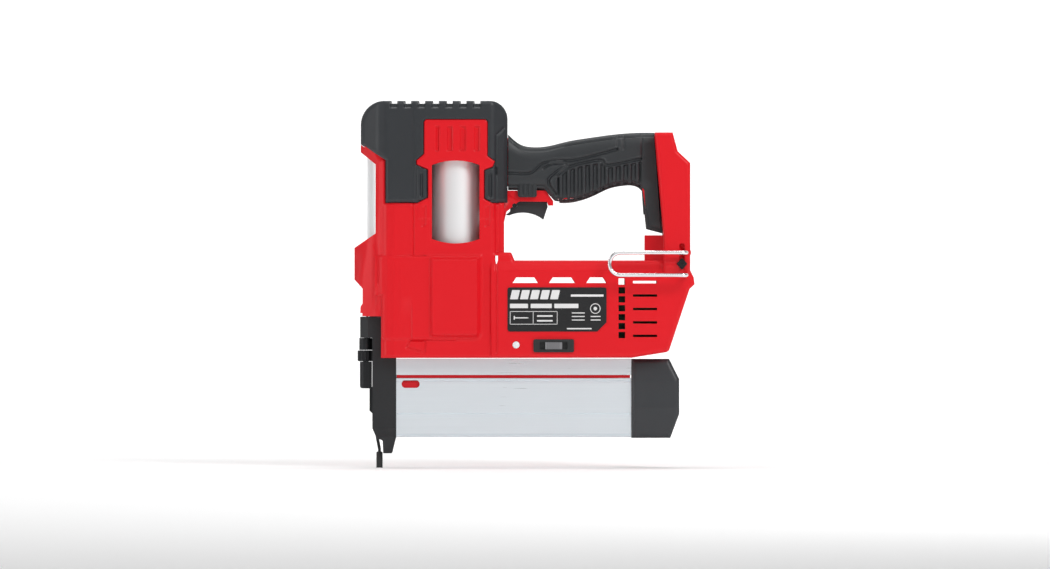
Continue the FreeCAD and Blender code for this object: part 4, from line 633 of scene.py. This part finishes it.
def coverHalf(X, Z):
    front, rear = place["front"], place["towerRear"] + 2.9
    planX = [front, front + 14.2, front + 21.0, rear - 12.2, rear]
    planY = [15.0, hood["half"] - 3, hood["half"], hood["half"], hood["half"] - 9]
    plan = sum(np.interp(X + shift, planX, planY) for shift in (-1.4, 0, 1.4)) / 3
    inside = depthInside(coverLine(), X, Z)
    width = plan - roundOver(inside, hood["round"])
    width = np.minimum(width, hood["half"] - roundOver(-depthInside(insetLine(), X, Z), 1.3))
    seam = [(place["ram"] + 21.4, place["coverEdge"] - 3), (place["ram"] + 21.4, place["top"] + 3)]
    width = width - 0.55 * (1 - ease(X - seam[0][0], 1.4))
    for row in range(hood["vents"]):
        x = front + 27.9 + hood["ventPitch"] * row
        across = ease(hood["ventWidth"] / 2 - np.abs(X - x), 0.9)
        width = width - hood["ventDepth"] * across * ease(Z - place["top"] + 6.4, 1.2)
        width = width - hood["ventReach"] * across * ease(Z - place["top"] + 2.6, 0.8)
    for x in (place["air"] - place["windowHalf"] - 8.4, place["air"] + place["windowHalf"] + 9.0):
        slotLine = [(x, place["coverEdge"] + 6), (x, place["coverEdge"] + 23)]
        padEdge = [(x - 4.6, place["coverEdge"] + 1.5), (x + 4.6, place["coverEdge"] + 1.5),
                   (x + 4.6, place["coverEdge"] + 29), (x - 4.6, place["coverEdge"] + 29)]
        width = width - groove(nearLine(slotLine, X, Z), 1.5, 1.7)
        width = width - groove(np.abs(depthInside(padEdge, X, Z)), 1.0, 1.0)
    bevelEdge = [(rear - 9.4, place["coverEdge"] + 24), (rear - 9.4, place["coverEdge"] + 56),
                 (rear - 3.0, place["coverEdge"] + 62)]
    width = width - groove(nearLine(bevelEdge, X, Z), 1.1, 1.0)
    return np.maximum(width - 0.12, 2.0)


block = slab("coverBlock", cover, hood["step"], lambda X, Z: -coverHalf(X, Z), coverHalf)
made = carve("head_cover", "top_cover", "tool", "charcoal", block)


# ---- magazine end cap

endCap = {"step": 0.7, "half": 17.0, "round": 4.6, "bandLow": 25.2, "bandHigh": 47.1, "fall": 2.2}


def capLine():
    x, z = channel["x1"], cap["z0"]
    return [(x + 0.2, z), (x + 32.4, z), (x + 39.8, z + 19.9), (x + 39.8, z + 49.0), (x + 31.5, z + 65.6),
            (x + 0.2, z + 65.6)]


def capHalf(X, Z):
    z = cap["z0"]
    width = endCap["half"] - roundOver(depthInside(capLine(), X, Z), endCap["round"])
    above = np.clip((Z - z - endCap["bandHigh"]) / 18.0, 0, 1)
    below = np.clip((z + endCap["bandLow"] - Z) / 25.0, 0, 1)
    width = width - endCap["fall"] * (above + below)
    return np.maximum(width - 0.12, 2.0)


block = slab("capBlock", cap, endCap["step"], lambda X, Z: -capHalf(X, Z), capHalf)
made = carve("rear_cap", "magazine_end_cap", "magazine", "capCharcoal", block)
print("shells carved")


# ---- raised marks on the rating plate, ribbed pads on the grip

def pressed(mesh, corners, y0, y1):
    # adds an outline from y0 out to y1
    line = arcCorners(corners, 5)
    near = [mesh.verts.new(Vector((x, y0, z)) * milli) for x, z in line]
    far = [mesh.verts.new(Vector((x, y1, z)) * milli) for x, z in line]
    mesh.faces.new(near)
    mesh.faces.new(far[::-1])
    for n in range(len(line)):
        m = (n + 1) % len(line)
        mesh.faces.new((near[m], near[n], far[n], far[m]))


def block4(x0, z0, x1, z1, lean=0.0, radius=0.0):
    return [(x0, z0, radius), (x1, z0, radius), (x1 + lean, z1, radius), (x0 + lean, z1, radius)]


marks = {
    "rise": 0.12, "sunk": 0.05, "line": 0.45, "margin": 2.0,
    "headings": 5, "headingPitch": 8.3, "headingWide": 6.6, "headingLean": 1.8,
    "ringFacets": 40, "rings": ((3.7, 4.3), (0.0, 1.5)),
}


def plateMarks():
    x, z, wide, tall = plate["x0"], plate["z0"], plate["x1"] - plate["x0"], plate["z1"] - plate["z0"]
    y0, y1 = plate["y0"] + marks["sunk"], plate["y0"] - marks["rise"]
    mesh = bmesh.new()
    start = x + marks["margin"]
    for n in range(marks["headings"]):  # slanted blocks along the top
        left = start + marks["headingPitch"] * n
        right = left + marks["headingWide"]
        pressed(mesh, block4(left, z + 0.73 * tall, right, z + 0.94 * tall, marks["headingLean"], 0.5), y0, y1)
    for n, length in enumerate((15.0, 17.5, 20.0)):
        left = start + (0, 17.2, 36.8)[n]
        pressed(mesh, block4(left, z + 0.53 * tall, left + length, z + 0.63 * tall, 0, 0.4), y0, y1)
    frameX, frameZ, frameWide, frameTall = start, z + 0.16 * tall, 0.48 * wide, 0.3 * tall
    line = marks["line"]
    for share in (0.0, 0.49, 1.0):
        left = frameX + share * (frameWide - line)
        pressed(mesh, block4(left, frameZ, left + line, frameZ + frameTall), y0, y1)
    for share in (0.0, 1.0):
        base = frameZ + share * (frameTall - line)
        pressed(mesh, block4(frameX, base, frameX + frameWide, base + line), y0, y1)
    nailX, nailZ = frameX + 0.08 * frameWide, frameZ + frameTall / 2
    pressed(mesh, block4(nailX, nailZ - 1.6, nailX + 0.9, nailZ + 1.6), y0, y1)
    pressed(mesh, [(nailX + 0.9, nailZ - 0.45), (nailX + 11, nailZ - 0.45), (nailX + 12.6, nailZ),
                   (nailX + 11, nailZ + 0.45), (nailX + 0.9, nailZ + 0.45)], y0, y1)
    for n in range(2):
        base = frameZ + (0.22 + 0.36 * n) * frameTall
        pressed(mesh, block4(frameX + 0.57 * frameWide, base, frameX + 0.9 * frameWide, base + 1.3, 0, 0.3), y0, y1)
    for n in range(3):
        base = z + (0.25 + 0.08 * n) * tall
        pressed(mesh, block4(x + 0.65 * wide, base, x + 0.78 * wide, base + 0.8), y0, y1)
    for n in range(2):
        base = z + (0.25 + 0.08 * n) * tall
        pressed(mesh, block4(x + 0.84 * wide, base, x + 0.94 * wide, base + 0.8), y0, y1)
    pressed(mesh, block4(x + 0.64 * wide, z + 0.79 * tall, x + 0.97 * wide, z + 0.84 * tall, 0, 0.3), y0, y1)
    pressed(mesh, block4(x + 0.6 * wide, z + 0.05 * tall, x + 0.85 * wide, z + 0.08 * tall), y0, y1)
    ringX, ringZ = x + 0.887 * wide, z + 0.52 * tall
    facets = marks["ringFacets"]
    for inner, outer in marks["rings"]:
        around = [2 * math.pi * n / facets for n in range(facets + 1)]
        for a, b in zip(around, around[1:]):
            pressed(mesh, [(ringX + r * math.cos(t), ringZ + r * math.sin(t))
                           for r, t in ((outer, a), (outer, b), (max(inner, 0.02), b), (max(inner, 0.02), a))], y0, y1)
    bmesh.ops.recalc_face_normals(mesh, faces=mesh.faces)
    made = fromBmesh("plate_marks", mesh)
    made.data.materials.append(finishes["printWhite"])
    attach(made, "tool")


plateMarks()

pad = {
    "ribs": 4, "x": 11.4, "z": 4.2, "length": 15.8, "height": 15.0, "round": 1.8,
    "plateRoot": 12.0, "ribRoot": 13.0, "plateDrop": 0.6, "ribMargin": 1.2, "ribRound": 1.1, "edge": 0.00045,
}


def gripPad(name, side):
    # small plate with upright ribs, over the trigger
    x, z = place["towerRear"] + pad["x"], place["grip"] + pad["z"]
    mesh = bmesh.new()
    top = grip["half"] - 1.0
    outline = block4(x, z, x + pad["length"], z + pad["height"], 0, pad["round"])
    pressed(mesh, outline, side * pad["plateRoot"], side * (top - pad["plateDrop"]))
    wide = pad["length"] / (pad["ribs"] + 0.3)
    for n in range(pad["ribs"]):
        left = x + 0.35 * wide + n * wide
        low, high = z + pad["ribMargin"], z + pad["height"] - pad["ribMargin"]
        outline = block4(left, low, left + 0.62 * wide, high, 0, pad["ribRound"])
        pressed(mesh, outline, side * pad["ribRoot"], side * top)
    bmesh.ops.recalc_face_normals(mesh, faces=mesh.faces)
    made = fromBmesh(name, mesh)
    bevel = made.modifiers.new("edge", "BEVEL")
    bevel.width, bevel.segments = pad["edge"], 3
    bevel.limit_method, bevel.angle_limit = "ANGLE", math.radians(50)
    bake(made)
    made.data.materials.append(finishes["gripRubber"])
    softShade(made, 40)
    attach(made, "tool")


gripPad("thumb_pad_left", -1)
gripPad("thumb_pad_right", 1)
print("marks and pads made")


# ---- finishes of the CAD parts that show as they are

carried = {
    "barrelBright": ["drive_cylinder", "compressor_cylinder"],
    "castAlloy": ["cylinder_head", "planet_carrier", "crank_wheel", "compressor_piston", "drive_piston",
                  "connecting_rod", "motor_can"],
    "groundSteel": ["wrist_pin", "driver_blade", "ball_bearings", "motor_rotor", "nose_screws",
                    "housing_screws", "contact_spring", "trigger_spring", "pusher_spring"],
    "gearSteel": ["planet_gear_1", "planet_gear_2", "planet_gear_3", "sun_gear", "ring_gear"],
    "sealRubber": ["compressor_seal", "drive_seal", "bumper", "contact_tip"],
    "darkPlastic": ["cooling_fan", "trigger_switch", "switch_plunger", "terminal_block", "battery_dock",
                    "air_valve", "mode_bezel"],
    "noseBlack": ["nose_body", "nose_cover"],
    "blackSteel": ["contact_carriage", "contact_foot", "depth_wheel", "belt_hook_clamp", "belt_hook_screw",
                   "trigger_pin"],
    "brushedAlloy": ["magazine_rail", "magazine_channel"],
    # the rail strip is painted red as a painted reflection of the red housing above it
    "paintedReflectionRed": ["magazine_liner"],
    "capCharcoal": ["magazine_latch"],
    "triggerCharcoal": ["trigger"],
    "pusherRed": ["pusher"],
    "knobGrey": ["mode_slider"],
    "lensClear": ["indicator_lens"],
    "plateBlack": ["rating_plate"],
    "boardGreen": ["control_board"],
    "contactBrass": ["battery_terminals"],
    "hookChrome": ["belt_hook"],
}
for finish, names in carried.items():
    for name in names:
        nodes[name].data.materials.clear()
        nodes[name].data.materials.append(finishes[finish])


# ---- camera, light and floor

studio = {
    "lens": 300.0, "sensor": 36.0, "frameWidth": 871.5, "objectPlane": -26.0,
    "aim": (0.6, 0.0), "floorSize": 6.0, "backDistance": 2.0, "backRadius": 1.0, "skyStrength": 0.38,
}
low, high = (Vector(corner) for corner in cadBox)
aimX = (shell["x0"] + shell["x1"]) / 2 + studio["aim"][0]
aimZ = (low.z + high.z) / 2 / milli + studio["aim"][1]
distance = studio["frameWidth"] * studio["lens"] / studio["sensor"]
lens = bpy.data.cameras.new("camera")
lens.lens, lens.sensor_width = studio["lens"], studio["sensor"]
lens.clip_start, lens.clip_end = 0.05, 40.0
camera = bpy.data.objects.new("camera", lens)
bpy.context.scene.collection.objects.link(camera)
camera.location = Vector((aimX, studio["objectPlane"] - distance, aimZ)) * milli
camera.rotation_euler = (math.radians(90), 0, 0)
bpy.context.scene.camera = camera


def paleFloor():
    # floor that sweeps up into a backdrop
    size, back, radius = studio["floorSize"], studio["backDistance"], studio["backRadius"]
    profile = [(-size, 0.0), (back, 0.0)]
    profile += [(back + radius * math.sin(a), radius * (1 - math.cos(a)))
                for a in (math.pi / 2 * n / 16 for n in range(1, 17))]
    profile.append((back + radius, size))
    places = [(x, y, z) for y, z in profile for x in (-size, size)]
    faces = [(2 * n, 2 * n + 1, 2 * n + 3, 2 * n + 2) for n in range(len(profile) - 1)]
    data = bpy.data.meshes.new("studio_floor")
    data.from_pydata(places, [], faces)
    data.shade_smooth()
    made = bpy.data.objects.new("studio_floor", data)
    bpy.context.scene.collection.objects.link(made)
    finish = Finish("paperWhite")
    drift = finish.noise(3.0, 2.0)
    colour = finish.tint(drift, (0.93, 0.93, 0.93), (0.95, 0.95, 0.95))
    data.materials.append(finish.close({"Base Color": colour, "Roughness": 0.9, "Specular IOR Level": 0.1}))


def softBox(name, where, aim, size, power):
    light = bpy.data.lights.new(name, "AREA")
    light.shape, light.size, light.size_y = "RECTANGLE", size[0], size[1]
    light.energy = power
    made = bpy.data.objects.new(name, light)
    bpy.context.scene.collection.objects.link(made)
    made.location = where
    made.rotation_euler = (Vector(aim) - Vector(where)).to_track_quat("-Z", "Y").to_euler()


paleFloor()
middle = (low + high) / 2
softBox("key", (1.2, -1.6, 1.3), middle, (0.6, 0.9), 19)
softBox("left", (-1.8, -0.7, 0.7), middle, (0.3, 1.6), 7)
softBox("overhead", (0.0, -2.6, 2.3), (0.0, -2.3, 0.0), (2.5, 1.0), 14)
softBox("top", (0.1, 0.15, 1.7), middle, (1.2, 0.5), 12)
softBox("backdrop", (0.0, 0.8, 1.9), (0.0, 3.0, 1.2), (4.0, 0.6), 60)
world = bpy.data.worlds.new("studio")
bpy.context.scene.world = world
world.use_nodes = True
world.node_tree.nodes["Background"].inputs["Color"].default_value = (1, 1, 1, 1)
world.node_tree.nodes["Background"].inputs["Strength"].default_value = studio["skyStrength"]
bpy.context.scene.view_settings.view_transform = "Standard"
print("studio set")
